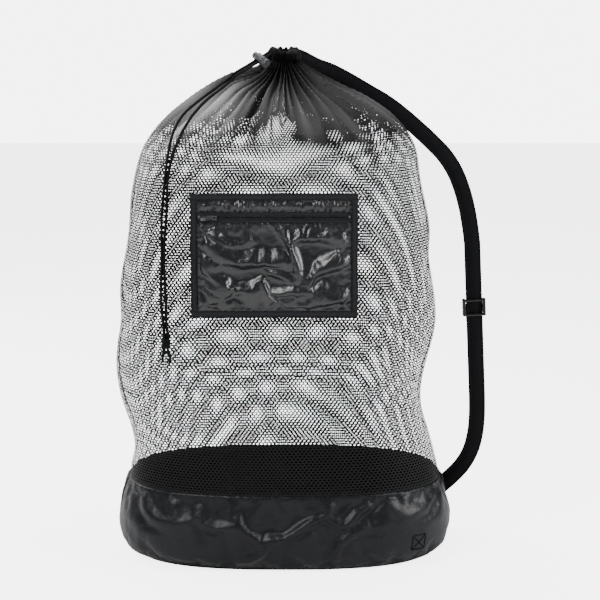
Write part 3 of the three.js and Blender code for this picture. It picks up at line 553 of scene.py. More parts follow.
def bagNormal(turn, height):
    step, rise = 0.004, 0.001
    low = np.maximum(height - rise, 0)
    high = np.minimum(height + rise, neckHeight)
    around = bagPoint(turn + step, height) - bagPoint(turn - step, height)
    up = bagPoint(turn, high) - bagPoint(turn, low)
    normal = np.cross(around, up)
    return normal / np.maximum(np.linalg.norm(normal, axis=-1, keepdims=True), 1e-12)


# ---- how the netting hangs: soft bulges, gathered pleats and broad folds ----

folds = {
    "pleats": 42,
    "pleatShare": 0.78,  # width the mesh takes up by narrowing its holes before it folds
    "broad": 15,
    "broadDepth": 0.011,
    "mostBulge": 0.0095,
    "pocketClear": 0.048,  # how far past the pocket's edge the bulges come back
    # angle round the bag in degrees, height, how far out, how wide
    "bulges": [
        (186, 0.345, 0.009, 0.075), (184, 0.495, 0.007, 0.06), (182, 0.215, -0.007, 0.05),
        (188, 0.65, 0.003, 0.05), (181, 0.43, -0.006, 0.03), (2, 0.43, 0.010, 0.07),
        (358, 0.595, 0.006, 0.06), (0, 0.27, -0.007, 0.06), (357, 0.54, -0.005, 0.03),
        (250, 0.30, 0.008, 0.09), (285, 0.38, 0.007, 0.09), (268, 0.22, 0.005, 0.08),
        (300, 0.24, 0.006, 0.08), (232, 0.40, 0.006, 0.07), (60, 0.34, 0.009, 0.09),
        (92, 0.50, 0.010, 0.10), (120, 0.33, 0.009, 0.09), (75, 0.64, 0.008, 0.09),
        (110, 0.66, 0.008, 0.09), (140, 0.52, 0.008, 0.09), (45, 0.50, 0.007, 0.08),
        (90, 0.22, 0.007, 0.08), (305, 0.70, 0.005, 0.07), (225, 0.72, 0.005, 0.07),
    ],
}

# cloth measured round the bag's middle and up its front
turnTable = np.linspace(0, 2 * math.pi, 4001)
girth = travelled(bagPoint(turnTable, 0.42))
heightTable = np.linspace(bandHeight + 0.0004, neckHeight, 600)
rise = travelled(bagPoint(1.35 * math.pi, heightTable))


def evenTurns(count):
    return np.interp(np.linspace(0, girth[-1], count + 1)[:-1], girth, turnTable)


def fabricShare(turn):
    return np.interp(turn % (2 * math.pi), turnTable, girth) / girth[-1]


def girthShare(height):
    heights = np.linspace(bandHeight, neckHeight, 60)
    turns = np.linspace(0, 2 * math.pi, 181)
    lengths = [np.linalg.norm(np.diff(bagPoint(turns, h), axis=0), axis=1).sum() for h in heights]
    return np.interp(height, heights, np.array(lengths) / girth[-1])


def softNoise(values, seed, scale):
    cells = np.random.default_rng(seed).random(64)
    spot = np.asarray(values, float) * scale
    i = np.floor(spot).astype(int)
    t = spot - i
    t = t * t * (3 - 2 * t)
    return cells[i % 64] * (1 - t) + cells[(i + 1) % 64] * t


# Where the pleats stand: 0 on the outside of a fold, 1 at its bottom.
def pleatWave(turn):
    fabric = fabricShare(turn)
    shift = 0.55 * (softNoise(fabric, 3, 64 / 3) - 0.5)
    wave = np.arcsin(0.97 * np.sin(2 * math.pi * (folds["pleats"] * fabric + shift))) * 2 / math.pi
    deep = 0.72 + 0.28 * softNoise(fabric, 5, 21.333)
    return (0.5 + 0.5 * wave) * deep


# The same for the broad folds the whole crown falls into.
def broadWave(turn):
    fabric = fabricShare(turn)
    shift = 1.1 * (softNoise(fabric, 11, 64 / 6) - 0.5)
    wave = np.sin(2 * math.pi * (folds["broad"] * fabric + shift))
    return (0.5 + 0.5 * wave) ** 1.3 * (0.45 + 0.55 * softNoise(fabric, 13, 64 / 5))


# Cloth left over as the girth narrows goes into the depth of the pleats.
def pleatDepth(height):
    share = girthShare(height) / folds["pleatShare"]
    flank = girth[-1] / folds["pleats"] / 2
    return flank * np.sqrt(np.clip(1 - share**2, 0, 1))


# The bag's hanging surface: plain shape, plus bulges, minus the folds, which only ever go inwards.
def hangingPoint(turn, height):
    turn, height = np.broadcast_arrays(np.asarray(turn, float), np.asarray(height, float))
    points = bagPoint(turn, height)
    normals = bagNormal(turn, height)
    out = np.zeros(height.shape)
    for angle, middle, amount, reach in folds["bulges"]:
        centre = bagPoint(math.radians(angle), middle)
        away = np.linalg.norm(points - centre, axis=-1) / reach
        out += amount * np.exp(-(away**2))
    edge = smoothstep(height, bandHeight, bandHeight + 0.05)
    across, up = bag["pocketMiddle"]
    inPocket = smoothstep(-points[..., 1], 0.10, 0.14)
    inPocket = inPocket * (1 - smoothstep(np.abs(height - up), 0.107, 0.107 + folds["pocketClear"]))
    inPocket = inPocket * (1 - smoothstep(np.abs(points[..., 0] - across), 0.15, 0.2))
    out = np.minimum(out * edge * (1 - inPocket), folds["mostBulge"])
    pleats = pleatDepth(height) * pleatWave(turn) * smoothstep(height, 0.70, 0.82)
    broad = folds["broadDepth"] * broadWave(turn) * smoothstep(height, 0.69, 0.80)
    broad = broad * (1 - 0.6 * smoothstep(height, 0.82, 0.885))
    folded = (pleats + broad) * (1 - inPocket)
    flat = smoothstep(height, 0.86, neckHeight)[..., None]
    outward = np.stack([np.cos(turn), np.sin(turn), np.zeros(turn.shape)], -1)
    lean = unit(normals * (1 - flat) + outward * flat)
    return points + normals * out[..., None] - lean * folded[..., None]


# ---- netting ----

net = {
    "pitch": 0.0072,
    "row": 0.0049,
    "strand": 0.0024,
    "corner": 0.0034,  # how far a hole's pointed end stands from its middle
    "unevenness": 0.00012,
    "smallestFace": 2e-8,
}


crown = {
    "start": 0.775,
    "below": 0.06,
    "above": 0.055,
    "streak": 0.095,
    "closed": 0.45,  # half a strand where the net is gathered tight, as a share of the pitch
    # strength of the painted light laid on the crown's gathers, and the heights over which it fades out towards the
    # mouth
    "paintedLightAmount": 0.2,
    "paintedLightEnds": (0.815, 0.872),
    # angle round the bag in degrees, how wide, how much: where the gathers start higher, and where the painted light on
    # the gathers is laid on stronger or weaker
    "higher": [(268, 17, 0.036), (318, 14, 0.012)],
    "paintedLightSides": [(220, 32, 1.1), (322, 30, -0.08)],
}


def nearAngles(turn, spots):
    degrees = np.degrees(turn) % 360
    return sum(amount * np.exp(-((degrees - middle) / wide) ** 2) for middle, wide, amount in spots)


# How far the holes are squeezed shut where the net is gathered: long streaks running down from the mouth.
def crownClosing(turn, height):
    fabric = fabricShare(turn)
    low = crown["start"] + nearAngles(turn, crown["higher"])
    streak = 0.5 * softNoise(fabric, 21, 64) + 0.5 * softNoise(fabric, 22, 32) - 0.5
    return smoothstep(height + crown["streak"] * streak, low - crown["below"], low + crown["above"])


# Painted light on the gathered crown: stronger where the holes are squeezed shut, on the outside of each pleat where
# light falls and less at the pleat bottoms, and on one side of the crown; it fades out towards the mouth.
def crownPaintedLight(turn, height):
    ridge = 1 - pleatWave(turn)
    streak = softNoise(np.interp(turn, turnTable, girth) / girth[-1], 31, 48)
    paintedLightAmount = crownClosing(turn, height) * (0.35 + 0.65 * ridge) * (0.3 + 0.9 * streak)
    paintedLightAmount = paintedLightAmount * (1 - 0.86 * smoothstep(height, *crown["paintedLightEnds"]))
    return paintedLightAmount * (crown["paintedLightAmount"] + nearAngles(turn, crown["paintedLightSides"]))


# The corners round each strand between two holes, and round each spot where three strands meet. Every hole has
# six corners, numbered clockwise from its top.
def strandFaces(i, j):
    wide, tall = i.shape
    here = np.arange(wide * tall).reshape(wide, tall) * 6
    odd = j % 2

    # the neighbouring hole's first corner, and where there is such a hole
    def take(di, dj):
        column = np.arange(wide)[:, None] + di
        line = np.arange(tall)[None, :] + dj
        found = (column >= 0) & (column < wide) & (line >= 0) & (line < tall)
        return here[np.clip(column, 0, wide - 1), np.clip(line, 0, tall - 1)], found

    def between(corners, ok):
        return np.stack([corner[ok] for corner in corners], -1)

    right, rightOk = take(1, 0)
    upRight, upRightOk = take(odd, 1)
    upLeft, upLeftOk = take(odd - 1, 1)
    quads = np.vstack([
        between((here + 1, here + 2, right + 4, right + 5), rightOk),
        between((here, here + 1, upRight + 3, upRight + 4), upRightOk),
        between((here + 5, here, upLeft + 2, upLeft + 3), upLeftOk),
    ])
    tris = np.vstack([
        between((here, upRight + 4, upLeft + 2), upRightOk & upLeftOk),
        between((here + 1, right + 5, upRight + 3), rightOk & upRightOk),
    ])
    return quads, tris


# One panel of hexagonal mesh, laid out flat first: its width runs round the bag and its length up it.
def makeNetting(name, nodeName, fromTurn, toTurn):
    pitch, row, half = net["pitch"], net["row"], net["strand"] / 2
    start = np.interp(fromTurn, turnTable, girth)
    width = np.interp(toTurn, turnTable, girth) - start
    length = rise[-1]
    columns = int(width / pitch) + 2
    rows = int(length / row) + 2
    pitch = width / (columns - 1.5)
    slope = (2 * net["corner"] - row) / (pitch / 2)
    i, j = np.meshgrid(np.arange(-1, columns), np.arange(-1, rows), indexing="ij")
    middle = np.stack([(i + 0.5 * (j % 2)) * pitch, j * row], -1)
    middleTurn = np.interp(start + np.clip(middle[..., 0], 0, width), girth, turnTable)
    middleHeight = np.interp(np.clip(middle[..., 1], 0, length), rise, heightTable)
    closing = crownClosing(middleTurn, middleHeight)
    half = half + (crown["closed"] * pitch - half) * closing
    top = net["corner"] - half * math.sqrt(1 + slope * slope) * (1 - 0.15 * closing)
    side = pitch / 2 - half
    shoulder = np.minimum(top - slope * side, 0.8 * top)
    zero = np.zeros(half.shape)
    ring = np.stack([
        np.stack([zero, top], -1), np.stack([side, shoulder], -1), np.stack([side, -shoulder], -1),
        np.stack([zero, -top], -1), np.stack([-side, -shoulder], -1), np.stack([-side, shoulder], -1),
    ], 2)
    flat = (middle[:, :, None, :] + ring).reshape(-1, 2)
    flat += np.random.default_rng(4).normal(0, net["unevenness"], flat.shape)
    flat[:, 0] = np.clip(flat[:, 0], 0, width)
    flat[:, 1] = np.clip(flat[:, 1], 0, length)
    turns = np.interp(start + flat[:, 0], girth, turnTable)
    heights = np.interp(flat[:, 1], rise, heightTable)
    points = hangingPoint(turns, heights)
    quads, tris = strandFaces(i, j)

    def flatArea(corners):
        p = flat[corners]
        q = np.roll(p, -1, axis=1)
        return 0.5 * np.abs((p[..., 0] * q[..., 1] - q[..., 0] * p[..., 1]).sum(1))

    quads = quads[flatArea(quads) > net["smallestFace"]]
    tris = tris[flatArea(tris) > net["smallestFace"]]
    used = np.unique(np.concatenate([quads.ravel(), tris.ravel()]))
    renumber = np.full(len(points), -1)
    renumber[used] = np.arange(len(used))
    faces = [list(face) for face in renumber[quads]] + [list(face) for face in renumber[tris]]
    holder = meshObject(name, points[used], faces, netting, uv=flat[used])
    # the painted light share on the crown, stored per point for the netting material
    paintedLight = holder.data.attributes.new("paintedLight", "FLOAT", "POINT")
    paintedLight.data.foreach_set("value", crownPaintedLight(turns[used], heights[used]).astype(np.float32))
    hand(holder, "netting", nodeName)


def makeFloor():
    half = studio["floorSize"] / 2
    corners = [(-half, -half, 0), (half, -half, 0), (half, half, 0), (-half, half, 0)]
    holder = meshObject("floor", corners, [(0, 1, 2, 3)], makeFloorMaterial())
    holder.location = (0, 0, -studio["floorDrop"])


makeCamera()
makeLights()
makeFloor()
makeNetting("netFront", "net_front_panel", math.pi, 2 * math.pi)
makeNetting("netBack", "net_back_panel", 0.0, math.pi)
print("netting made")


# ---- cloth simulation ----

clothFacts = {"quality": 6, "mass": 0.2, "damping": 4, "stretch": 14.0, "shear": 14.0 * 0.4}


# Shrinks and settles a cloth held by its pinned points, and leaves it as it came to rest.
def drape(holder, pins, shrink, bend, frames):
    group = holder.vertex_groups.new(name="sewn")
    for i, weight in enumerate(pins):
        if weight > 0:
            group.add([i], float(weight), "REPLACE")
    cloth = holder.modifiers.new("cloth", "CLOTH")
    settings = cloth.settings
    settings.quality = clothFacts["quality"]
    settings.mass = clothFacts["mass"]
    settings.air_damping = clothFacts["damping"]
    settings.tension_stiffness = clothFacts["stretch"]
    settings.compression_stiffness = clothFacts["stretch"]
    settings.shear_stiffness = clothFacts["shear"]
    settings.bending_stiffness = bend
    settings.vertex_group_mass = "sewn"
    settings.pin_stiffness = 1.0
    settings.shrink_min = -shrink
    settings.effector_weights.gravity = 0.0
    cloth.collision_settings.use_collision = False
    cloth.collision_settings.use_self_collision = False
    cloth.point_cache.frame_start = 1
    cloth.point_cache.frame_end = frames
    scene = bpy.context.scene
    scene.frame_start = 1
    scene.frame_end = frames
    for step in range(1, frames + 1):
        scene.frame_set(step)
    ready = holder.evaluated_get(bpy.context.evaluated_depsgraph_get())
    points = np.empty(len(holder.data.vertices) * 3)
    ready.data.vertices.foreach_get("co", points)
    holder.modifiers.clear()
    holder.vertex_groups.clear()
    scene.frame_set(1)
    holder.data.vertices.foreach_set("co", points)
    holder.data.update()


def getPoints(holder):
    points = np.empty(len(holder.data.vertices) * 3)
    holder.data.vertices.foreach_get("co", points)
    return points.reshape(-1, 3)


def setPoints(holder, points):
    holder.data.vertices.foreach_set("co", np.asarray(points, dtype=float).ravel())
    holder.data.update()


def thicken(holder, thickness):
    modifier = holder.modifiers.new("thick", "SOLIDIFY")
    modifier.thickness = thickness
    modifier.offset = -1
    applyModifiers(holder)


def roughen(points, seed, scale, amount):
    spot = np.asarray(points) * scale + seed * 7.3
    return np.array([noise.noise(Vector(p)) for p in spot]) * amount


# Height of a set of long folds at points of a plane: each runs along a line and falls away steeper below it.
def foldField(x, z, creases):
    total = np.zeros(x.shape)
    for line, high, above, below in creases:
        line = np.asarray(line, dtype=float)
        line = curveThrough(np.column_stack([line, np.zeros(len(line))]), 0.004)[:, :2]
        away = np.hypot(x[:, None] - line[None, :, 0], z[:, None] - line[None, :, 1])
        near = away.argmin(axis=1)
        dist = away[np.arange(len(x)), near]
        upper = z > line[near, 1]
        reach = np.where(upper, above, below)
        share = near / (len(line) - 1)
        crest = high * (0.35 + 0.65 * np.sin(math.pi * np.clip(0.12 + 0.8 * share, 0, 1)))
        total = np.maximum(total, crest * np.exp(-((dist / reach) ** 2)))
    return total


# ---- base band and base panel ----

band = {
    "columns": 330,
    "rows": 34,
    "shrink": 0.045,
    "bend": 0.35,
    "frames": 30,
    "thick": 0.001,
    "limit": 0.012,
    "floor": 0.0004,
    "gathers": 96,
    "gatherHigh": 0.0016,
}

# creases across the front of the band: a line of (x, z), height, reach above it and below it
bandFolds = [
    ([(-0.245, 0.118), (-0.235, 0.095), (-0.20, 0.085), (-0.165, 0.088)], 0.009, 0.012, 0.010),
    ([(-0.150, 0.095), (-0.120, 0.084), (-0.08, 0.080), (-0.045, 0.060), (-0.030, 0.052)], 0.009, 0.012, 0.006),
    ([(-0.045, 0.058), (0.0, 0.066), (0.04, 0.088), (0.075, 0.105)], 0.009, 0.010, 0.006),
    ([(0.075, 0.100), (0.105, 0.088), (0.135, 0.112), (0.16, 0.125)], 0.010, 0.009, 0.006),
    ([(0.09, 0.030), (0.10, 0.055), (0.125, 0.075), (0.15, 0.085)], 0.008, 0.010, 0.007),
    ([(-0.26, 0.075), (-0.235, 0.048), (-0.19, 0.030), (-0.12, 0.020)], 0.009, 0.016, 0.011),
    ([(0.165, 0.085), (0.21, 0.092), (0.25, 0.105)], 0.009, 0.012, 0.008),
    ([(-0.03, 0.052), (-0.045, 0.034), (-0.08, 0.022)], 0.007, 0.009, 0.007),
]


def gatherWave(fabric):
    return np.sin(2 * math.pi * (band["gathers"] * fabric + 1.6 * softNoise(fabric, 41, 40)))


def makeBand():
    columns, rows = band["columns"], band["rows"]
    heights = np.linspace(0.0005, bandHeight, rows + 1)
    turns, highs = np.meshgrid(evenTurns(columns), heights, indexing="ij")
    points = bagPoint(turns, highs)
    normals = bagNormal(turns, highs)
    points = points.transpose(1, 0, 2).reshape(-1, 3)
    normals = normals.transpose(1, 0, 2).reshape(-1, 3)
    plain = points.copy()
    row = np.repeat(np.arange(rows + 1), columns)
    inner = smoothstep(row, 0, 4) * smoothstep(rows - row, 0, 3)
    seeded = roughen(points, 1, 13.0, 0.007) + roughen(points, 4, 30.0, 0.0035)
    front = points[:, 1] < 0
    seeded[front] = 0.55 * seeded[front] + foldField(points[front, 0], points[front, 2], bandFolds) - 0.002
    points = points + normals * (seeded * inner)[:, None]
    uv = np.stack([np.tile(np.linspace(0, girth[-1], columns), rows + 1), np.repeat(heights, columns)], 1)
    faces = gridFaces(columns, rows, closed=True)
    holder = meshObject("baseBand", points, faces, coatedCloth, uv=uv)
    pins = np.where((row == 0) | (row == rows), 1.0, np.where((row == 1) | (row >= rows - 1), 0.9, 0.0))
    drape(holder, pins, band["shrink"], band["bend"], band["frames"])
    moved = getPoints(holder) - plain
    out = (moved * normals).sum(1)
    eased = band["limit"] * np.tanh(out / band["limit"])
    moved = moved + normals * (eased - out)[:, None]
    # small gathers where the cloth is sewn to the net
    fabric = np.tile(np.linspace(0, 1, columns), rows + 1)
    gathers = gatherWave(fabric) * (0.4 + 0.9 * softNoise(fabric, 42, 31))
    drop = bandHeight - np.repeat(heights, columns)
    gathers = band["gatherHigh"] * gathers * np.exp(-drop / 0.016) * smoothstep(drop, 0.0, 0.006)
    final = plain + moved + normals * gathers[:, None]
    final[:, 2] = np.maximum(final[:, 2], band["floor"])
    setPoints(holder, final)
    thicken(holder, band["thick"])
    hand(holder, "coated_cloth", "base_band")
    return holder


baseBand = makeBand()
print("base band draped")


basePlate = {"rounds": 120, "rings": 26, "rimHeight": 0.0028, "rimInset": 0.0017, "top": 0.0018, "lip": 0.0006,
             "thick": 0.0014, "floor": 0.0002}


def makeBasePanel():
    rounds, rings = basePlate["rounds"], basePlate["rings"]
    turns = np.linspace(0, 2 * math.pi, rounds, endpoint=False)
    rim = bagPoint(turns, basePlate["rimHeight"])[:, :2]
    rim = rim - unit(rim) * basePlate["rimInset"]
    shares = np.linspace(1, 0.04, rings)
    points = []
    for share in shares:
        top = basePlate["top"] + basePlate["lip"] * math.exp(-((1 - share) / 0.03) ** 2)
        points += [[x, y, top] for x, y in rim * share]
    points = np.array(points)
    points[:, 2] += np.abs(roughen(points, 5, 14.0, 0.0022)) * smoothstep(np.repeat(1 - shares, rounds), 0.02, 0.12)
    faces = []
    for k in range(rings - 1):
        for i in range(rounds):
            a, b = k * rounds + i, k * rounds + (i + 1) % rounds
            faces.append([a, b, b + rounds, a + rounds])
    faces.append([(rings - 1) * rounds + i for i in range(rounds)])
    holder = meshObject("basePanel", points, faces, coatedCloth, uv=points[:, :2])
    thicken(holder, basePlate["thick"])
    final = getPoints(holder)
    final[:, 2] = np.maximum(final[:, 2], basePlate["floor"])
    setPoints(holder, final)
    hand(holder, "coated_cloth", "base_panel")


makeBasePanel()

# ---- strips: tapes, bindings and webbing ----


# A closed strip swept along places; the section is a closed run of (across, out) corners in metres.
def stripObject(name, points, across, out, section, material, closed=False):
    points, across, out = (np.asarray(v, dtype=float) for v in (points, across, out))
    section = np.asarray(section, dtype=float)
    count, corners = len(points), len(section)
    body = points[:, None] + across[:, None] * section[None, :, :1] + out[:, None] * section[None, :, 1:]
    uv = np.stack(np.broadcast_arrays(section[None, :, 0], travelled(points)[:, None]), -1).reshape(-1, 2)
    faces = []
    last = count if closed else count - 1
    for i in range(last):
        a, b = i * corners, ((i + 1) % count) * corners
        for k in range(corners):
            n = (k + 1) % corners
            faces.append([a + k, a + n, b + n, b + k])
    if not closed:
        faces.append(list(range(corners))[::-1])
        faces.append([(count - 1) * corners + k for k in range(corners)])
    holder = meshObject(name, body.reshape(-1, 3), faces, material, uv=uv)
    faceOut(holder)
    return holder


def webbingSection(width, thickness, groove=0.12):
    half = width / 2
    spots = [-1, -0.97, -0.9, -0.72, -0.66, -0.6, 0, 0.6, 0.66, 0.72, 0.9, 0.97, 1]
    front, back = [], []
    for spot in spots:
        swell = 1 - 0.55 * max(0, (abs(spot) - 0.9) / 0.1) ** 2
        dip = groove if abs(abs(spot) - 0.66) < 0.01 else 0
        front.append((spot * half, thickness * (0.5 + 0.5 * swell - dip)))
        back.append((spot * half, thickness * (0.5 - 0.5 * swell)))
    return front + back[::-1]


# Sewing thread: short stitches lying along a line of places, joined in one mesh. Each one rises out of the
# cloth and sinks back in at its ends.
def stitchRows(name, rows, length=0.003, space=0.0012, radius=0.00032, lift=0.0002):
    points, faces = [], []
    spots = np.array([0, 0.2, 0.5, 0.8, 1])
    heights = np.array([-0.3, 0.6, 1.0, 0.6, -0.3]) * radius + lift
    sizes = np.array([0.5, 0.95, 1.0, 0.95, 0.5]) * radius
    sides = 5
    for path, normals in rows:
        path, normals = np.asarray(path, float), np.asarray(normals, float)
        along = travelled(path)
        spot = space / 2
        while spot + length < along[-1]:
            marks = spot + length * spots
            place = np.stack([np.interp(marks, along, path[:, k]) for k in range(3)], 1)
            up = unit(np.stack([np.interp(marks, along, normals[:, k]) for k in range(3)], 1))
            side = np.cross(unit(place[-1] - place[0]), up)
            base = len(points)
            for k in range(len(spots)):
                centre = place[k] + up[k] * heights[k]
                for turn in range(sides):
                    angle = turn * 2 * math.pi / sides
                    points.append(centre + sizes[k] * (math.cos(angle) * side[k] + math.sin(angle) * up[k]))
            for k in range(len(spots) - 1):
                for turn in range(sides):
                    a, b = base + k * sides + turn, base + k * sides + (turn + 1) % sides
                    faces.append([a, b, b + sides, a + sides])
            faces.append([base + k for k in range(sides)])
            faces.append([len(points) - sides + k for k in range(sides)][::-1])
            spot += length + space
    holder = meshObject(name, points, faces, sewingThread, uv=np.zeros((len(points), 2)))
    faceOut(holder)
    return hand(holder, "thread")


tape = {"count": 480, "bandInner": 0.0024, "sideInner": 0.0019, "sideFrom": 0.1478, "sideTo": 0.8465, "step": 0.005}


def makeBandTape():
    count = tape["count"]
    turns = evenTurns(count)
    middle = bagPoint(turns, bandHeight - 0.0006)
    normals = bagNormal(turns, np.full(count, bandHeight - 0.002))
    fabric = np.linspace(0, 1, count, endpoint=False)
    wave = 0.0006 * gatherWave(fabric) + 0.0005 * np.sin(2 * math.pi * 31 * fabric)
    middle[:, 2] += 0.0007 * np.sin(2 * math.pi * (23 * fabric + softNoise(fabric, 44, 20)))
    up = np.cross(normals, unit(np.gradient(middle, axis=0)))
    inner = middle - normals * (tape["bandInner"] - wave)[:, None]
    section = [(-0.0075, 0.0), (-0.0077, 0.0005), (-0.006, 0.0009), (0, 0.00075), (0.0045, 0.0009), (0.0053, 0.0005),
               (0.0052, 0.0)]
    holder = stripObject("bandTape", inner, up, -normals, section, tapeCloth, closed=True)
    hand(holder, "tape", "band_top_seam_tape")
    rows = []
    for height in (-0.0052, -0.0022):
        line = middle + up * height + normals * 0.0016
        rows.append((np.vstack([line, line[:1]]), np.vstack([normals, normals[:1]])))
    stitchRows("bandTapeStitches", rows)


makeBandTape()


def makeSideTape(name, turn, nodeName):
    heights = np.interp(np.arange(0, rise[-1], tape["step"]), rise, heightTable)
    heights = heights[(heights > tape["sideFrom"]) & (heights < tape["sideTo"])]
    turns = np.full(len(heights), turn)
    points = hangingPoint(turns, heights)
    across = unit(hangingPoint(turns + 0.02, heights) - hangingPoint(turns - 0.02, heights))
    out = unit(np.cross(across, np.gradient(points, axis=0)))
    wave = 0.0004 * np.sin(np.arange(len(heights)) * 1.3) + 0.0003 * np.sin(np.arange(len(heights)) * 0.61)
    inner = points - out * (tape["sideInner"] - wave)[:, None]
    section = [(-0.0058, 0.0), (-0.006, 0.0004), (-0.0045, 0.0008), (0.0045, 0.0008), (0.006, 0.0004), (0.0058, 0.0)]
    hand(stripObject(name, inner, across, -out, section, tapeCloth), "tape", nodeName)
    rows = [(points + across * side + out * 0.0004, out) for side in (-0.0038, 0.0038)]
    stitchRows(name + "Stitches", rows)


makeSideTape("sideTapeLeft", math.pi, "side_seam_tape_left")
makeSideTape("sideTapeRight", 0.0, "side_seam_tape_right")
print("tapes made")

# ---- mouth hem ----

hem = {
    "low": 0.8884, "high": 0.9094, "outer": 0.031, "inner": 0.0125, "columns": 840, "ruffle": 0.0085,
    # height above the foot, how far out, how deep its folds
    "outside": [
        (0.0, 0.0, 1.0), (0.003, -0.0006, 1.0), (0.006, 0.0, 1.0), (0.010, -0.0004, 1.0), (0.013, -0.001, 1.0),
        (0.0152, -0.0030, 1.0), (0.0175, -0.0052, 1.1), (0.0195, -0.0078, 1.2),
    ],
    "inside": [(0.0188, 0.0035), (0.0155, 0.0006), (0.009, -0.001), (0.002, 0.0), (0.0, 0.001)],
}


def makeHem():
    columns = hem["columns"]
    turns = evenTurns(columns)
    fabric = np.linspace(0, 1, columns, endpoint=False)
    fine = np.arcsin(0.97 * np.sin(2 * math.pi * (2 * folds["pleats"] * fabric + 0.8 * softNoise(fabric, 52, 32))))
    wave = (0.5 + fine / math.pi) * (0.8 + 0.2 * softNoise(fabric, 53, 42))
    ruffle = hem["ruffle"] * (softNoise(fabric, 51, 32) - 0.62)
    rows = [(up, hem["outer"] + push - 0.0058 * wave * deep) for up, push, deep in hem["outside"]]
    rows += [(up, hem["inner"] + push + 0.0056 * (1 - wave)) for up, push in hem["inside"]]
    points = []
    for up, radius in rows:
        lift = hem["low"] + up + ruffle * smoothstep(up, 0.010, 0.0195)
        lift = np.clip(lift, hem["low"], hem["high"] + 0.0025)
        points.append(np.stack([radius * np.cos(turns), radius * np.sin(turns), lift], -1))
    points = np.vstack(points)
    faces = []
    count = len(rows)
    for k in range(count):
        for i in range(columns):
            a, b = k * columns + i, k * columns + (i + 1) % columns
            c, d = ((k + 1) % count) * columns + (i + 1) % columns, ((k + 1) % count) * columns + i
            faces.append([a, b, c, d])
    uv = np.stack([np.tile(np.linspace(0, girth[-1], columns), count), points[:, 2]], 1)
    holder = meshObject("mouthHem", points, faces, hemCloth, uv=uv)
    faceOut(holder)
    hand(holder, "netting", "mouth_hem")


makeHem()

# ---- drawcord ----

cord = {
    "diameter": 0.005,
    "spacing": 0.006,
    "exit": np.array([-0.02663, -0.01664, 0.8989]),
    "along": np.array([-0.76222, -0.47629, -0.43837]),
    "across": np.array([-0.64480, 0.61828, 0.44940]),
    "ringRadius": 0.0215,
    "exitTurn": math.radians(212),
    "open": math.radians(34),
    "straight": (0.004, 0.019, 0.047, 0.076),
    "route": np.array([
        [-92, -52, 858], [-112, -61, 843], [-132, -71, 829], [-151, -85, 813], [-168, -98, 795],
        [-181, -110, 772], [-190, -121, 746], [-196, -130, 720], [-201, -134, 690], [-203, -139, 655],
        [-205, -142, 615], [-207, -144, 570], [-208, -146, 525], [-207, -148, 485], [-205, -151, 450],
        [-203, -154, 425],
    ]) * mm,
    "spreadRoute": 8,
    "spread": 0.004,
    "step": 0.003,
}


def runKnots(side):
    turn = cord["exitTurn"] - side * (cord["open"] - 0.0012 / cord["ringRadius"])
    start = [cord["ringRadius"] * math.cos(turn), cord["ringRadius"] * math.sin(turn), cord["exit"][2]]
    half = side * cord["spacing"] / 2
    knots = [start, cord["exit"] - cord["along"] * 0.25 * cord["ringRadius"] + cord["across"] * half]
    for along in cord["straight"]:
        knots.append(cord["exit"] + cord["along"] * along + cord["across"] * half)
    for i, place in enumerate(cord["route"]):
        apart = cord["spread"] * math.sin(math.pi * i / cord["spreadRoute"]) if i < cord["spreadRoute"] else 0
        share = float(smoothstep(i, 0, cord["spreadRoute"]))
        across = unit(cord["across"] * (1 - share) + np.array([-0.98, 0.2, 0]) * share)
        knots.append(place + across * side * (cord["spacing"] / 2 + apart))
    return np.array(knots)


def makeRun(name, side, nodeName):
    path = curveThrough(runKnots(side), cord["step"])
    number = np.arange(len(path))
    free = smoothstep(number, 34, 50) * smoothstep(len(path) - number, 2, 14)
    spot = number * cord["step"]
    sway = np.stack([
        0.0012 * np.sin(spot * 41 + side), np.zeros(len(path)), 0.0008 * np.sin(spot * 57 + 2 * side)], 1)
    path = path + sway * free[:, None]
    path[-1] = path[-1] + np.array([0, 0, -0.003])
    holder = hand(tubeObject(name, path, cord["diameter"] / 2, cordYarn, sides=14), "cord", nodeName)


makeRun("drawcordLeft", 1, "drawcord_left_run")
makeRun("drawcordRight", -1, "drawcord_right_run")


def makeLoop():
    start = cord["exitTurn"] + cord["open"]
    turns = start + 2 * (math.pi - cord["open"]) * np.linspace(0, 1, 60)
    path = np.stack([
        cord["ringRadius"] * np.cos(turns), cord["ringRadius"] * np.sin(turns), np.full(60, cord["exit"][2])], 1)
    hand(tubeObject("drawcordLoop", path, cord["diameter"] / 2, cordYarn), "cord", "drawcord_loop")


makeLoop()


# The knot: three snug turns round both ends, and the two cut tips, slightly frayed.
def makeKnot():
    middle = cord["route"][-1]
    spots = np.linspace(0, 1, 110)
    angle = 2 * math.pi * 3.6 * spots
    reach = 0.0054 + 0.0006 * np.sin(math.pi * spots)
    wrap = np.stack([
        middle[0] + reach * np.cos(angle), middle[1] + reach * np.sin(angle), middle[2] - 0.0035 - 0.0195 * spots,
    ], 1)
    hand(tubeObject("cordKnot", wrap, 0.00262, cordYarn), "cord", "cord_knot")
    for side in (-1, 1):
        low = np.array([middle[0] + side * 0.0058, middle[1] - 0.0008 * side, middle[2] - 0.0482])
        path = curveThrough([
            middle + np.array([side * 0.0028, 0, -0.002]), middle + np.array([side * 0.0026, 0, -0.014]),
            middle + np.array([side * 0.0032, 0, -0.027]), middle + np.array([side * 0.0062, 0.0012, -0.037]), low,
        ], 0.0015)
        width = 0.0025 * (1 + 0.12 * smoothstep(np.linspace(0, 1, len(path)), 0.82, 0.96))
        width[-1] *= 0.8
        hand(tubeObject("cordTipLeft" if side < 0 else "cordTipRight", path, width, cordYarn), "cord")


makeKnot()
print("cords made")

# ---- strap ----

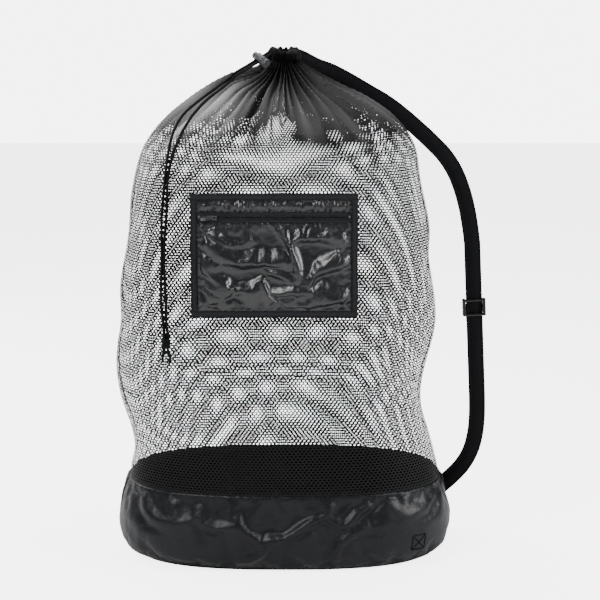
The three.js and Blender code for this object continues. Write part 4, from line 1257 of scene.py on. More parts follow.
strap = {
    "width": 0.030,
    "thickness": 0.002,
    "layerGap": 0.0008,
    "upper": [
        [6, 36, 896], [30, 46, 887], [56, 58, 873], [84, 67, 862], [116, 74, 845], [148, 78, 826], [182, 79, 806],
        [213, 79, 783], [242, 78, 758], [268, 77, 734], [290, 76, 711], [308, 76, 684], [321, 76, 654],
        [331, 76, 620], [338, 76, 585], [343, 76, 550],
    ],
    "lower": [
        [357, 76, 262], [357.5, 77, 225], [355, 79, 190], [347, 82, 156], [332, 87, 126], [312, 94, 101],
        [291, 102, 79],
    ],
    "barRadius": 0.004 * math.sqrt(0.5) + 0.0006,
    "fromFoot": 0.014,
    "barSpacing": 0.013,
    "adjusterDown": 0.120,
    "returnShare": 0.97,
    "tabThickness": 0.0016,
    "tabLean": math.radians(-62),
    # how far the cut end runs down from the adjuster, and how far it comes back to the strap
    "tail": [(0.004, 0.0), (0.008, 0.0001), (0.014, 0.0008), (0.021, 0.0019), (0.028, 0.0024)],
}


def strapFrames(points):
    ways = unit(np.gradient(points, axis=0))
    across = unit(np.cross(ways, [0, 1, 0]))
    return ways, across, np.cross(ways, across)


# Webbing turned half round a bar, and which way its outside faces there.
def turnRound(point, way, out, radius, wayRound):
    angles = np.radians(np.linspace(90, -90, 14))
    outs = way[None] * wayRound * np.cos(angles)[:, None] + out[None] * np.sin(angles)[:, None]
    return point + outs * radius, outs


upperPath = curveThrough(np.array(strap["upper"]) * mm, 0.006)
lowerPath = curveThrough(np.array(strap["lower"]) * mm, 0.004)
straightTop, straightEnd = upperPath[-1], lowerPath[0]
straightLength = np.linalg.norm(straightEnd - straightTop)
straightWay = (straightEnd - straightTop) / straightLength
straightPath = straightTop + straightWay * np.linspace(0, straightLength, 50)[1:-1, None]
footWays, footAcross, footOut = strapFrames(lowerPath)
footWay, footSide, footFace = footWays[-1], footAcross[-1], footOut[-1]
upperBar = lowerPath[-1] + footWay * strap["fromFoot"] - footFace * strap["barRadius"]
lowerBar = upperBar + footWay * strap["barSpacing"]
straightAcross = np.cross(straightWay, [0, 1, 0])
straightOut = np.cross(straightWay, straightAcross)
adjusterPoint = straightTop + straightWay * strap["adjusterDown"]
centreDepth = strap["layerGap"] + strap["thickness"] + strap["barRadius"]
centreBar = adjusterPoint - straightOut * centreDepth


def makeStrap():
    body = np.vstack([upperPath, straightPath, lowerPath])
    tail = lowerPath[-1] + footWay * np.linspace(0.004, strap["fromFoot"], 4)[:, None]
    body = np.vstack([body, tail[:-1]])
    across, out = strapFrames(body)[1:]
    spot = travelled(body)
    free = smoothstep(spot, 0.05, 0.2) * (1 - smoothstep(spot, 0.40, 0.46))
    twist = 0.05 * np.sin(spot * 17) * free
    turned = across * np.cos(twist)[:, None] + out * np.sin(twist)[:, None]
    out = out * np.cos(twist)[:, None] - across * np.sin(twist)[:, None]
    body = body + out * (0.0009 * np.sin(spot * 31) * free)[:, None]
    points, outs = turnRound(upperBar, footWay, footFace, strap["barRadius"], 1)
    body = np.vstack([body, points])
    turned = np.vstack([turned, np.tile(footSide, (len(points), 1))])
    out = np.vstack([out, outs])
    section = webbingSection(strap["width"], strap["thickness"])
    hand(stripObject("strapWebbing", body, turned, out, section, webbingCloth), "webbing", "strap_webbing")
    print("strap length", round(float(travelled(body)[-1]), 4))


def makeReturn():
    places, sides, outs = [], [], []

    def put(point, side, out):
        places.append(point)
        sides.append(side)
        outs.append(out)

    put(upperBar - footWay * 0.0004 - footFace * (strap["barRadius"] + strap["thickness"]), footSide, footFace)
    count = len(lowerPath)
    for i in range(count - 2, -1, -1):
        away = (count - 1 - i) / (count - 1)
        spread = max(0, 1 - away * 12 / 5) * (2 * strap["barRadius"] - strap["layerGap"])
        back = strap["layerGap"] + spread + strap["thickness"]
        put(lowerPath[i] - footOut[i] * back, footAcross[i], footOut[i])
    back = strap["layerGap"] + strap["thickness"]
    run = straightLength - strap["adjusterDown"]
    for share in np.linspace(0.03, 0.985, 26):
        put(straightEnd - straightWay * run * share - straightOut * back, straightAcross, straightOut)
    points, turned = turnRound(centreBar, straightWay, straightOut, strap["barRadius"], -1)
    for point, out in zip(points, turned):
        put(point, straightAcross, out)
    tail = places[-1]
    for down, closer in strap["tail"]:
        put(tail + straightWay * down + straightOut * closer, straightAcross, turned[-1])
    section = webbingSection(strap["width"], strap["thickness"] * strap["returnShare"])
    holder = stripObject("strapReturn", places, sides, outs, section, webbingCloth)
    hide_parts("strap_return_web")
    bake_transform(holder)


makeStrap()
makeReturn()


def insideBag(point):
    left, right, depth = outlineAt(bag["band"], point[2])
    wide = left if point[0] < 0 else right
    return (abs(point[0]) / wide) ** bag["squareness"] + (abs(point[1]) / depth) ** bag["squareness"] < 1


def makeRingTab():
    turn = Matrix.Rotation(strap["tabLean"], 3, Vector(footSide))
    way = np.array(turn @ Vector(footWay))
    out = np.array(turn @ Vector(footFace))
    points, outs = turnRound(lowerBar, way, out, strap["barRadius"], -1)
    ends = []
    for k in (0, -1):
        point = points[k].copy()
        line = [point]
        while not insideBag(point) and len(line) < 40:
            point = point + way * 0.002
            line.append(point)
        ends.append(np.array(line[1:]))
    body = np.vstack([ends[0][::-1], points, ends[1]])
    out = np.vstack([np.tile(outs[0], (len(ends[0]), 1)), outs, np.tile(outs[-1], (len(ends[1]), 1))])
    across = np.tile(footSide, (len(body), 1))
    section = webbingSection(strap["width"], strap["tabThickness"])
    hand(stripObject("ringTab", body, across, out, section, webbingCloth), "webbing", "strap_ring_tab")


makeRingTab()
print("strap made")

# ---- pocket ----

pocket = {
    "left": -0.159, "right": 0.127, "bottom": 0.457, "top": 0.671, "binding": 0.011,
    "zip": 0.631, "clothEdge": 0.0091, "net": -0.1524, "front": -0.1571, "back": -0.1538,
    "thick": 0.00056, "backThick": 0.0005, "frames": 28,
    "inside": 0.0011,  # how far the back cloth and the zip's tapes run under the bindings
}


def panelGrid(low, high, columns, rows):
    x, z = np.meshgrid(np.linspace(low[0], high[0], columns + 1), np.linspace(low[1], high[1], rows + 1), indexing="xy")
    return x.ravel(), z.ravel(), gridFaces(columns, rows)


# A loose panel held at its edges. Its folds stand outwards only, up to the limit.
def clothPanel(name, low, high, step, shrink, bend, seed, seedAmount, limit, nodeName, slant, creases=(), puckers=()):
    depth = pocket["front"]
    wide, tall = high[0] - low[0], high[1] - low[1]
    x, z, faces = panelGrid(low, high, int(wide / step), int(tall / step))
    plain = np.stack([x, np.full(x.shape, depth), z], 1)
    edge = np.minimum.reduce([x - low[0], high[0] - x, z - low[1], high[1] - z])
    inner = smoothstep(edge, 0, 0.02)
    spot = np.stack([x * 14 + z * slant, z * 30 + x * slant, np.zeros(len(x))], 1)
    seeded = np.abs(roughen(spot, seed, 1.0, seedAmount)) + 0.0015
    if creases:
        seeded = 0.35 * seeded + foldField(x, z, creases)
    start = plain - np.outer(seeded * inner, [0, 1, 0])
    holder = meshObject(name, start, faces, satinCloth, uv=np.stack([x, z], 1))
    pins = np.where(edge < 1e-6, 1.0, np.where(edge < 1.6 * step, 0.6, 0.0))
    drape(holder, pins, shrink, bend, pocket["frames"])
    final = getPoints(holder)
    out = depth - final[:, 1]
    out = np.where(out > 0, limit * np.tanh(out / limit), 0.0022 * np.tanh(out / 0.0022))
    for line, spacing, high, reach in puckers:
        wave = np.sin(2 * math.pi * (x / spacing + 1.3 * softNoise(x + 1, 71, 60)))
        wave = np.maximum(wave, -0.3) * (0.3 + softNoise(x + 1, 72, 40))
        drop = np.abs(z - line)
        out = out + high * wave * np.exp(-((drop / reach) ** 1.5)) * smoothstep(drop, 0, 0.003)
    final[:, 1] = depth - out
    setPoints(holder, final)
    thicken(holder, pocket["thick"])
    hand(holder, "satin_cloth", nodeName)


inset = pocket["binding"] - 0.0015
# long folds of the loose pocket cloth: a line of (x, z), height, reach above it and below it
pocketFolds = [
    ([(-0.152, 0.598), (-0.118, 0.572), (-0.085, 0.556), (-0.04, 0.553), (0.005, 0.552)], 0.013, 0.016, 0.0075),
    ([(-0.15, 0.622), (-0.125, 0.600), (-0.10, 0.585), (-0.06, 0.588)], 0.007, 0.010, 0.008),
    ([(0.003, 0.597), (0.012, 0.575), (0.022, 0.540), (0.024, 0.525)], 0.012, 0.009, 0.006),
    ([(0.118, 0.556), (0.08, 0.545), (0.052, 0.533), (0.042, 0.515)], 0.012, 0.018, 0.007),
    ([(0.012, 0.590), (0.04, 0.600), (0.075, 0.596), (0.118, 0.590)], 0.010, 0.012, 0.009),
    ([(0.045, 0.619), (0.075, 0.606), (0.112, 0.588)], 0.008, 0.007, 0.006),
    ([(0.120, 0.498), (0.085, 0.488), (0.045, 0.476)], 0.011, 0.014, 0.006),
    ([(-0.036, 0.518), (-0.030, 0.500), (-0.018, 0.478)], 0.010, 0.007, 0.007),
    ([(-0.152, 0.512), (-0.146, 0.492), (-0.138, 0.470)], 0.010, 0.007, 0.008),
    ([(-0.148, 0.562), (-0.12, 0.535), (-0.085, 0.508), (-0.05, 0.500)], 0.010, 0.013, 0.010),
    ([(-0.015, 0.498), (0.02, 0.503), (0.055, 0.502)], 0.007, 0.010, 0.005),
    ([(-0.03, 0.535), (-0.005, 0.530), (0.01, 0.522)], 0.007, 0.008, 0.005),
]

# puckers: the height of the seam they run from, their spacing, how high they stand and how far they reach
clothPanel(
    "pocketFront", (pocket["left"] + inset, pocket["bottom"] + inset),
    (pocket["right"] - inset, pocket["zip"] - pocket["clothEdge"]), step=0.0029, shrink=0.075, bend=0.25,
    seed=2, seedAmount=0.008, limit=0.014, nodeName="pocket_front_panel", slant=9.0, creases=pocketFolds,
    puckers=[
        (pocket["zip"] - pocket["clothEdge"], 0.011, 0.0022, 0.011), (pocket["bottom"] + inset, 0.009, 0.0016, 0.007),
    ])
clothPanel(
    "pocketStrip", (pocket["left"] + inset, pocket["zip"] + pocket["clothEdge"]),
    (pocket["right"] - inset, pocket["top"] - inset), step=0.0022, shrink=0.07, bend=0.06,
    seed=6, seedAmount=0.003, limit=0.0045, nodeName="pocket_top_strip", slant=30.0,
    puckers=[(pocket["zip"] + 0.02, 0.013, 0.0036, 0.02), (pocket["zip"] + 0.012, 0.0087, 0.0016, 0.009)])
print("pocket draped")


def makePocketBack():
    low = (pocket["left"] + pocket["inside"], pocket["bottom"] + pocket["inside"])
    high = (pocket["right"] - pocket["inside"], pocket["top"] - pocket["inside"])
    x, z, faces = panelGrid(low, high, 70, 52)
    y = pocket["back"] + np.clip(roughen(np.stack([x, z, z], 1), 9, 25.0, 0.0012), -0.0004, 0.0009)
    holder = meshObject("pocketBack", np.stack([x, y, z], 1), faces, satinCloth, uv=np.stack([x, z], 1))
    thicken(holder, -pocket["backThick"])
    hand(holder, "satin_cloth", "pocket_back_panel")


makePocketBack()


# A binding: tape folded over the edge, a front leaf, the fold and a back leaf, sewn through with two rows.
def makeBinding(name, start, end, inward, nodeName):
    start, end, inward = (np.array(v, dtype=float) for v in (start, end, inward))
    length = np.linalg.norm(end - start)
    count = int(length / 0.004)
    spot = np.linspace(0, 1, count + 1)
    points = start + (end - start) * spot[:, None]
    ripple = 0.00045 * np.sin(spot * length * 520 + 3 * softNoise(spot, 61, 21))
    ripple = ripple + 0.0006 * (softNoise(spot, 62, 33) - 0.5)
    points[:, 1] -= ripple
    wander = 0.0005 * (softNoise(spot, 63, 17) - 0.5)
    points = points + inward * wander[:, None]
    across = np.tile(inward, (count + 1, 1))
    out = np.tile([0.0, -1.0, 0.0], (count + 1, 1))
    wide, high, leaf = pocket["binding"], 0.0064, 0.0009
    section = [
        (wide, high), (wide - 0.0003, high + 0.0002), (0.006, high + 0.0003), (0.0018, high + 0.0001),
        (0.0005, high - 0.001),
        (0.0, high * 0.5), (0.0005, 0.001), (0.0018, 0.0002), (wide - 0.0003, 0.0001), (wide, 0.0003),
        (wide, leaf), (0.003, leaf + 0.0003), (0.002, high * 0.5), (0.003, high - leaf - 0.0003), (wide, high - leaf),
    ]
    hand(stripObject(name, points, across, out, section, tapeCloth), "tape", nodeName)
    rows = []
    for away in (0.0022, wide - 0.0018):
        line = points + inward * away
        line[:, 1] = points[:, 1] - high - 0.0001
        rows.append((line, out))
    stitchRows(name + "Stitches", rows, length=0.0026, space=0.001)


for word, inward in (("bottom", (0, 0, 1)), ("top", (0, 0, -1)), ("left", (1, 0, 0)), ("right", (-1, 0, 0))):
    if inward[2]:
        start, end = (pocket["left"], pocket["net"], pocket[word]), (pocket["right"], pocket["net"], pocket[word])
    else:
        start = (pocket[word], pocket["net"], pocket["bottom"] + pocket["binding"])
        end = (pocket[word], pocket["net"], pocket["top"] - pocket["binding"])
    makeBinding("binding" + word.capitalize(), start, end, inward, "pocket_binding_" + word)

# ---- zip ----

zipper = {"depth": -0.1571, "tapeDepth": -0.1561, "tape": 0.012, "parting": 0.0022, "coilLeft": -0.1421,
          "coilRight": 0.1101, "coilHigh": 0.0022, "coilPitch": 0.00135, "wire": 0.0003}


def makeZipTape(name, side, nodeName):
    count = 90
    x = np.linspace(pocket["left"] + pocket["inside"], pocket["right"] - pocket["inside"], count)
    z = pocket["zip"] + side * (zipper["parting"] / 2 + zipper["tape"] / 2)
    points = np.stack([x, zipper["tapeDepth"] - 0.0002 * np.sin(x * 90 + side), np.full(count, z)], 1)
    across = np.tile([0.0, 0.0, 1.0], (count, 1))
    out = np.tile([0.0, -1.0, 0.0], (count, 1))
    half = zipper["tape"] / 2
    section = [(-half, 0.0), (-half, 0.0005), (-half * 0.5, 0.0006), (-half * 0.4, 0.0004), (0, 0.0006),
               (half * 0.4, 0.0004), (half * 0.5, 0.0006), (half, 0.0005), (half, 0.0)]
    hand(stripObject(name, points, across, out, section, tapeCloth), "tape", nodeName)


def makeCoil(name, side, nodeName):
    turns = (zipper["coilRight"] - zipper["coilLeft"]) / zipper["coilPitch"]
    steps = int(turns * 9)
    share = np.linspace(0, 1, steps)
    angle = 2 * math.pi * turns * share * side
    middle = pocket["zip"] + side * (zipper["parting"] / 2 + zipper["coilHigh"] / 2)
    x = zipper["coilLeft"] + (zipper["coilRight"] - zipper["coilLeft"]) * share
    z = middle + np.cos(angle) * 0.0009
    y = zipper["depth"] - 0.0008 + np.sin(angle) * 0.0005
    wave = 0.0002 * np.sin(x * 90 + side)
    coil = tubeObject(name, np.stack([x, y - wave, z], 1), zipper["wire"], plastic, sides=5)
    hand(coil, "plastic", nodeName)


for side, word in ((1, "upper"), (-1, "lower")):
    makeZipTape("zipTape" + word.capitalize(), side, "zip_tape_" + word)
    makeCoil("zipCoil" + word.capitalize(), side, "zip_coil_" + word)


def hemStitches():
    rows = []
    x = np.linspace(pocket["left"] + pocket["binding"], pocket["right"] - pocket["binding"], 120)
    for side in (-1, 1):
        z = pocket["zip"] + side * (pocket["clothEdge"] + 0.0016)
        line = np.stack([x, np.full(120, pocket["front"] - 0.0006), np.full(120, z)], 1)
        rows.append((line, np.tile([0.0, -1.0, 0.0], (120, 1))))
    stitchRows("zipStitches", rows, length=0.0026, space=0.001)


hemStitches()

# ---- hard pieces ----


def clearChoice():
    for chosen in list(bpy.context.selected_objects):
        chosen.select_set(False)


def beginEdit(holder, mode="FACE"):
    clearChoice()
    bpy.context.view_layer.objects.active = holder
    holder.select_set(True)
    bpy.ops.object.mode_set(mode="EDIT")
    bpy.ops.mesh.select_mode(type=mode)
    bpy.ops.mesh.select_all(action="SELECT")


def endEdit():
    bpy.ops.object.mode_set(mode="OBJECT")
    clearChoice()


def choose(holder, kind, test):
    bpy.ops.mesh.select_mode(type=kind)
    bpy.ops.mesh.select_all(action="DESELECT")
    mesh = bmesh.from_edit_mesh(holder.data)
    parts = {"VERT": mesh.verts, "EDGE": mesh.edges, "FACE": mesh.faces}[kind]
    for part in parts:
        if kind == "FACE":
            wanted = test(part.calc_center_median(), part.normal)
        elif kind == "EDGE":
            wanted = test(*(end.co for end in part.verts))
        else:
            wanted = test(part.co)
        if wanted:
            part.select = True
    mesh.select_flush_mode()
    bmesh.update_edit_mesh(holder.data)


def startPiece(name, kind, **facts):
    clearChoice()
    if kind == "cylinder":
        bpy.ops.mesh.primitive_cylinder_add(**facts)
    elif kind == "cube":
        bpy.ops.mesh.primitive_cube_add(**facts)
    else:
        bpy.ops.mesh.primitive_plane_add(**facts)
    holder = bpy.context.object
    holder.name = name
    holder.data.name = name
    return holder


# A box of one size about a middle, left open for editing.
def startBox(name, sizes, middle):
    holder = startPiece(name, "cube", size=1)
    beginEdit(holder)
    bpy.ops.transform.resize(value=sizes, center_override=(0, 0, 0))
    bpy.ops.transform.translate(value=middle)
    return holder


def finishPiece(holder, placing, material, body, slot, *nodes):
    holder.data.transform(holder.matrix_basis)
    holder.matrix_basis = Matrix.Identity(4)
    holder.data.transform(placing)
    holder.data.materials.clear()
    holder.data.materials.append(material)
    faceOut(holder)
    clearChoice()
    bpy.context.view_layer.objects.active = holder
    holder.select_set(True)
    bpy.ops.object.shade_smooth_by_angle(angle=math.radians(35))
    clearChoice()
    hand(holder, slot, *nodes, body=body)


def softenEdges(holder, width, segments=2, sharp=30):
    beginEdit(holder, "EDGE")
    bpy.ops.mesh.select_all(action="DESELECT")
    bpy.ops.mesh.edges_select_sharp(sharpness=math.radians(sharp))
    bpy.ops.mesh.bevel(offset=width, segments=segments, affect="EDGES")
    endEdit()


# A plate cut along lines, with chosen cells taken out, then given its depth.
def gridPlate(name, xs, ys, isHole, depth):
    holder = startPiece(name, "plane", size=1)
    beginEdit(holder)
    bpy.ops.transform.resize(value=(xs[-1] - xs[0], ys[-1] - ys[0], 1), center_override=(0, 0, 0))
    bpy.ops.transform.translate(value=((xs[0] + xs[-1]) / 2, (ys[0] + ys[-1]) / 2, 0))
    for x in xs[1:-1]:
        bpy.ops.mesh.select_all(action="SELECT")
        bpy.ops.mesh.bisect(plane_co=(x, 0, 0), plane_no=(1, 0, 0))
    for y in ys[1:-1]:
        bpy.ops.mesh.select_all(action="SELECT")
        bpy.ops.mesh.bisect(plane_co=(0, y, 0), plane_no=(0, 1, 0))
    choose(holder, "FACE", lambda centre, normal: isHole(centre.x, centre.y))
    bpy.ops.mesh.delete(type="FACE")
    bpy.ops.mesh.select_all(action="SELECT")
    bpy.ops.mesh.extrude_region_move(TRANSFORM_OT_translate={"value": (0, 0, depth)})
    bpy.ops.mesh.select_all(action="SELECT")
    bpy.ops.mesh.normals_make_consistent(inside=False)
    endEdit()
    return holder


def frameMatrix(x, y, z, origin):
    matrix = Matrix.Identity(4)
    for k, axis in enumerate((x, y, z)):
        for row in range(3):
            matrix[row][k] = axis[row]
    for row in range(3):
        matrix[row][3] = origin[row]
    return matrix


adjuster = {"width": 0.043, "height": 0.031, "bar": 0.004, "clearance": 0.0008}


def makeAdjuster():
    half, high, bar = adjuster["width"] / 2, adjuster["height"] / 2, adjuster["bar"]
    opening = strap["width"] / 2 + adjuster["clearance"]
    front = strap["thickness"] + adjuster["clearance"] + bar
    back = -centreDepth - bar / 2
    inner = opening - 0.0004
    xs = [-half, -opening, -inner, inner, opening, half]
    ys = [-high, -high + bar, -bar / 2, bar / 2, high - bar, high]
    holder = gridPlate("strapAdjuster", xs, ys,
                       lambda x, y: abs(x) < opening - 0.0001 and bar / 2 < abs(y) < high - bar, front - back)
    beginEdit(holder, "VERT")
    choose(holder, "VERT", lambda co: abs(co.x) < inner + 1e-5 and abs(co.y) > high - bar - 1e-5 and co.z < 1e-5)
    bpy.ops.transform.translate(value=(0, 0, front - back - bar))
    choose(holder, "VERT", lambda co: abs(co.x) < inner + 1e-5 and abs(co.y) < bar / 2 + 1e-5 and co.z > bar)
    bpy.ops.transform.translate(value=(0, 0, -(front - back - bar)))
    # the frame's long sides lean in a little towards the front
    choose(holder, "VERT", lambda co: abs(abs(co.x) - half) < 1e-5 and co.z > bar)
    bpy.ops.transform.resize(value=(0.975, 1, 1), center_override=(0, 0, 0))
    choose(holder, "EDGE", lambda a, b: abs(a.x - b.x) < 1e-6 and abs(a.y - b.y) < 1e-6
           and abs(abs(a.x) - half) < 0.001 and abs(abs(a.y) - high) < 1e-5)
    bpy.ops.mesh.bevel(offset=0.0042, segments=5, affect="EDGES")
    endEdit()
    softenEdges(holder, 0.0006, 2)
    placing = frameMatrix(straightAcross, -straightWay, straightOut, adjusterPoint + straightOut * back)
    finishPiece(holder, placing, plastic, "adjuster", "plastic", "strap_adjuster")


makeAdjuster()


def makeRing():
    half, opening, bar = strap["width"] / 2 + 0.0046, 0.0045, 0.004
    holder = gridPlate("strapRing", [-half, -half + bar, half - bar, half],
                       [-opening - bar, -opening, opening, opening + bar],
                       lambda x, y: abs(x) < half - bar and abs(y) < opening, bar)
    beginEdit(holder, "EDGE")
    choose(holder, "EDGE", lambda a, b: abs(a.z - b.z) > bar * 0.9 and abs(a.x) > half - 1e-5)
    bpy.ops.mesh.bevel(offset=0.0034, segments=4, affect="EDGES")
    endEdit()
    softenEdges(holder, 0.0009, 3)
    middle = (upperBar + lowerBar) / 2
    placing = frameMatrix(footSide, -footWay, footFace, middle - footFace * bar / 2)
    finishPiece(holder, placing, plastic, "bag", "plastic", "strap_ring")


makeRing()

lock = {"radius": 0.0082, "top": 0.026, "slotFrom": 0.0116, "slotTo": 0.0234, "buttonTop": 0.0335, "wall": 0.0017,
        "foot": 0.009, "floor": 0.002, "wire": 0.0009, "turns": 3.5, "hole": 0.0058, "grips": (0.0038, 0.0062, 0.0086)}


def cutWith(holder, cutter):
    modifier = holder.modifiers.new("hole", "BOOLEAN")
    modifier.operation = "DIFFERENCE"
    modifier.solver = "EXACT"
    modifier.object = cutter
    applyModifiers(holder)
    bpy.data.objects.remove(cutter, do_unlink=True)


def lockPlacing():
    along, across = cord["along"], cord["across"]
    up = np.cross(along, across)
    foot = cord["exit"] + along * 0.019 - across * 0.0175
    return frameMatrix(up, along, across, foot)


def cordHole(low, high):
    cutter = startBox("cordHole", (lock["hole"], 0.04, high - low), (0, 0, (low + high) / 2))
    endEdit()
    softenEdges(cutter, 0.0011, 3)
    return cutter


def makeBarrel():
    radius, top = lock["radius"], lock["top"]
    holder = startPiece("lockBarrel", "cylinder", vertices=48, radius=radius, depth=top, location=(0, 0, 0))
    beginEdit(holder)
    bpy.ops.transform.translate(value=(0, 0, top / 2))
    for low in lock["grips"]:
        for height in (low, low + 0.0003, low + 0.0010, low + 0.0013):
            bpy.ops.mesh.select_all(action="SELECT")
            bpy.ops.mesh.bisect(plane_co=(0, 0, height), plane_no=(0, 0, 1))
    choose(holder, "VERT", lambda co: any(low + 0.0002 < co.z < low + 0.0011 for low in lock["grips"]))
    bpy.ops.transform.resize(value=(0.92, 0.92, 1), center_override=(0, 0, 0))
    choose(holder, "FACE", lambda centre, normal: abs(normal.z) > 0.9 and centre.z < 1e-5)
    bpy.ops.mesh.inset(thickness=0.0022)
    bpy.ops.transform.translate(value=(0, 0, 0.0007))
    endEdit()
    softenEdges(holder, 0.0004, 2, sharp=40)
    bore = startPiece("bore", "cylinder", vertices=48, radius=radius - lock["wall"], depth=0.03,
                      location=(0, 0, lock["floor"] + 0.015))
    cutWith(holder, bore)
    cutWith(holder, cordHole(lock["slotFrom"], lock["slotTo"]))
    finishPiece(holder, lockPlacing(), lockPlastic, "cord_lock", "plastic", "cord_lock_barrel")


def makeButton():
    radius = lock["radius"] - lock["wall"] - 0.0005
    low, high = lock["foot"], lock["buttonTop"]
    holder = startPiece("lockButton", "cylinder", vertices=40, radius=radius, depth=high - low,
                        location=(0, 0, (low + high) / 2))
    beginEdit(holder)
    choose(holder, "FACE", lambda centre, normal: abs(normal.z) > 0.9 and centre.z > 0)
    bpy.ops.mesh.inset(thickness=0.0016)
    bpy.ops.transform.translate(value=(0, 0, 0.0002))
    bpy.ops.mesh.inset(thickness=0.0018)
    bpy.ops.transform.translate(value=(0, 0, -0.0006))
    endEdit()
    softenEdges(holder, 0.0006, 3, sharp=50)
    cutWith(holder, cordHole(lock["slotFrom"], lock["slotTo"] + 0.0045))
    finishPiece(holder, lockPlacing(), lockPlastic, "cord_lock_button", "plastic", "cord_lock_plunger")


makeBarrel()
makeButton()


# The spring under the button, coiled at its rest length.
def makeSpring():
    wire = lock["wire"]
    turns = np.linspace(0, 2 * math.pi * lock["turns"], 64)
    reach = lock["radius"] - lock["wall"] - 2 * wire
    low, high = lock["floor"] + 0.0003 + wire, lock["foot"] - 0.0003 - wire
    spots = np.linspace(low, high, len(turns))
    placing = lockPlacing()
    path = [placing @ Vector((reach * math.cos(a), reach * math.sin(a), z)) for a, z in zip(turns, spots)]
    holder = tubeObject("lockSpring", np.array([list(spot) for spot in path]), wire / 2, sliderMetal, sides=8)
    hand(holder, "metal", "cord_lock_spring", body="cord_lock")
    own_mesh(holder)


makeSpring()

# ---- zip slider, pull and stops ----

slide = {"left": -0.1417, "length": 0.012, "half": 0.00525, "plate": 0.0011, "back": -0.1546, "front": -0.1602,
         "pin": (-0.1372, -0.1613, 0.631), "bail": 0.0034, "bailHalf": 0.0029, "bar": 0.0013}


def joinPieces(name, pieces):
    clearChoice()
    for piece in pieces:
        piece.select_set(True)
    bpy.context.view_layer.objects.active = pieces[0]
    bpy.ops.object.join()
    holder = bpy.context.object
    holder.name = name
    holder.data.name = name
    clearChoice()
    return holder


# Local frame of the zip's pieces: x along the zip, y up the pocket, z out of it.
zipPlacing = frameMatrix((1, 0, 0), (0, 0, 1), (0, -1, 0), (slide["left"], 0, pocket["zip"]))


def sliderPlate(name, depth):
    holder = startBox(name, (slide["length"], slide["half"] * 2, slide["plate"]),
                      (slide["length"] / 2, 0, depth + slide["plate"] / 2))
    bpy.ops.mesh.bisect(plane_co=(0.0075, 0, 0), plane_no=(1, 0, 0))
    choose(holder, "VERT", lambda co: co.x > 0.011)
    bpy.ops.transform.resize(value=(1, 0.62, 1), center_override=(0, 0, 0))
    choose(holder, "EDGE", lambda a, b: abs(a.z - b.z) > 0.0008 and (a.x < 0.001 or a.x > 0.011))
    bpy.ops.mesh.bevel(offset=0.0018, segments=4, affect="EDGES")
    endEdit()
    softenEdges(holder, 0.0003, 2)
    return holder


def makeSlider():
    back = sliderPlate("backPlate", -slide["back"])
    front = sliderPlate("frontPlate", -slide["front"] - slide["plate"])
    web = startBox("sliderWeb", (0.0058, 0.0014, slide["back"] - slide["front"]),
                   (0.0041, 0, -(slide["front"] + slide["back"]) / 2))
    endEdit()
    softenEdges(web, 0.0002, 1)
    bar, high, half = slide["bar"], slide["bail"], slide["bailHalf"]
    bail = gridPlate("bail", [-half, -half + bar, half - bar, half], [-0.0004, high - bar, high],
                     lambda x, y: abs(x) < half - bar and y < high - bar, 0.0022)
    beginEdit(bail, "EDGE")
    choose(bail, "EDGE", lambda a, b: abs(a.z - b.z) > 0.001 and abs(a.x) > 0.0028 and a.y > 0.003)
    bpy.ops.mesh.bevel(offset=0.0012, segments=4, affect="EDGES")
    endEdit()
    softenEdges(bail, 0.00022, 2)
    bail.data.transform(Matrix.Translation((slide["pin"][0] - slide["left"], 0.0011, -slide["front"]))
                        @ Matrix.Rotation(math.pi / 2, 4, "X"))
    holder = joinPieces("zipSlider", [front, back, web, bail])
    finishPiece(holder, zipPlacing, sliderMetal, "slider", "metal", "zip_slider")


def makePull():
    half, thick, rim, slot = 0.00375, 0.0013, 0.0012, 0.0011

    def isHole(x, y):
        return (abs(y) < half - rim and 0.00065 < x < 0.006) or (abs(y) < slot and 0.0175 < x < 0.0215)

    holder = gridPlate("zipPull", [-0.00065, 0.00065, 0.006, 0.0175, 0.0215, 0.024],
                       [-half, -half + rim, -slot, slot, half - rim, half], isHole, thick)
    beginEdit(holder, "EDGE")
    choose(holder, "EDGE", lambda a, b: abs(a.z - b.z) > 0.001 and abs(abs(a.y) - half) < 1e-5 and a.x > 0.023)
    bpy.ops.mesh.bevel(offset=0.0026, segments=5, affect="EDGES")
    choose(holder, "EDGE", lambda a, b: abs(a.z - b.z) > 0.001 and abs(abs(a.y) - half) < 1e-5 and a.x < 0.0)
    bpy.ops.mesh.bevel(offset=0.0006, segments=2, affect="EDGES")
    choose(holder, "FACE", lambda centre, normal: abs(normal.z) > 0.9 and centre.z > thick * 0.5
           and 0.006 < centre.x < 0.0175)
    bpy.ops.mesh.inset(thickness=0.0007)
    bpy.ops.transform.translate(value=(0, 0, -0.00025))
    endEdit()
    softenEdges(holder, 0.0002, 2, sharp=50)
    x, y, z = slide["pin"]
    placing = frameMatrix((1, 0, 0), (0, 0, 1), (0, -1, 0), (x, y + thick / 2, z))
    finishPiece(holder, placing, sliderMetal, "pull", "metal", "zip_pull")


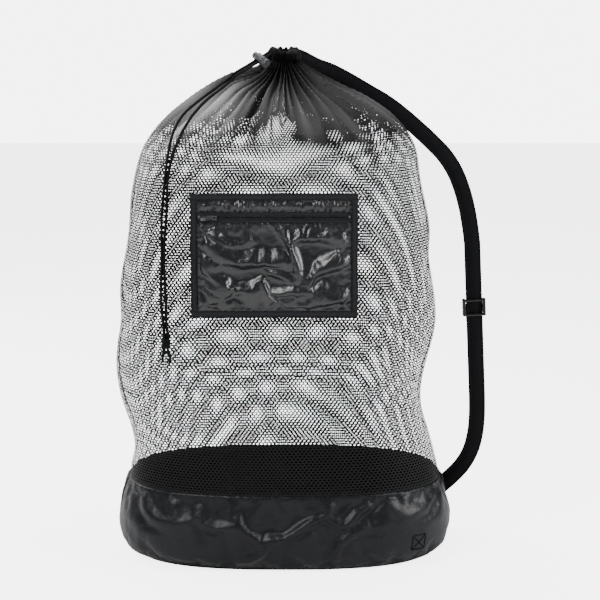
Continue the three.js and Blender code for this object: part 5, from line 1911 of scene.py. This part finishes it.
def makeStop(name, left, nodeName):
    wide, high = 0.0035, 0.0016
    holder = startBox(name, (wide, 0.0066, high), (left - slide["left"] + wide / 2, 0, -zipper["depth"] + high / 2))
    choose(holder, "FACE", lambda centre, normal: normal.z > 0.9)
    bpy.ops.mesh.inset(thickness=0.0007)
    bpy.ops.transform.translate(value=(0, 0, -0.0003))
    endEdit()
    softenEdges(holder, 0.00035, 2)
    finishPiece(holder, zipPlacing, sliderMetal, "bag", "metal", nodeName)


makeSlider()
makePull()
makeStop("zipStopLeft", -0.146, "zip_stop_left")
makeStop("zipStopRight", 0.1105, "zip_stop_right")

# ---- stitched square where the strap's anchor is sewn through the band ----

box = {"x": 0.236, "z": 0.046, "half": 0.014, "patch": 0.017, "under": 0.0013, "thick": 0.0018}


def makeBoxStitch():
    mesh = bmesh.new()
    mesh.from_mesh(baseBand.data)
    tree = BVHTree.FromBMesh(mesh)
    mesh.free()
    right = outlineAt(bag["band"], box["z"])[1]
    turn = -math.acos((box["x"] / right) ** (bag["squareness"] / 2))
    middle = bagPoint(turn, box["z"])
    out = bagNormal(np.array(turn), np.array(box["z"]))
    across = unit(np.cross([0, 0, 1.0], out))
    up = np.cross(out, across)

    def onBand(a, b):
        start = Vector(middle + across * a + up * b + out * 0.03)
        hit, normal = tree.ray_cast(start, Vector(-out))[:2]
        return np.array(hit), np.array(normal)

    half = box["half"]
    corners = [(-half, -half), (half, -half), (half, half), (-half, half)]
    lines = [(corners[k], corners[(k + 1) % 4]) for k in range(4)]
    lines += [(corners[0], corners[2]), (corners[1], corners[3])]
    rows = []
    for (a0, b0), (a1, b1) in lines:
        way = np.array([a1 - a0, b1 - b0]) / math.hypot(a1 - a0, b1 - b0)
        for shift in (-0.00045, 0.00045):
            hits = [
                onBand(a0 + (a1 - a0) * share - way[1] * shift, b0 + (b1 - b0) * share + way[0] * shift)
                for share in np.linspace(0, 1, 30)
            ]
            rows.append(tuple(zip(*hits)))
    stitches = stitchRows("boxStitch", rows, length=0.0027, space=0.0006, radius=0.0005, lift=0.0002)
    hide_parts("box_x_stitch")
    count = 16
    spots = np.linspace(-box["patch"], box["patch"], count + 1)
    uv = [(a, b) for b in spots for a in spots]
    points = [onBand(a, b)[0] - out * box["under"] for a, b in uv]
    patch = meshObject("anchorPatch", points, gridFaces(count, count), webbingCloth, uv=uv)
    thicken(patch, box["thick"])
    hand(patch, "webbing", "strap_anchor_patch")


makeBoxStitch()
print("hard pieces made")
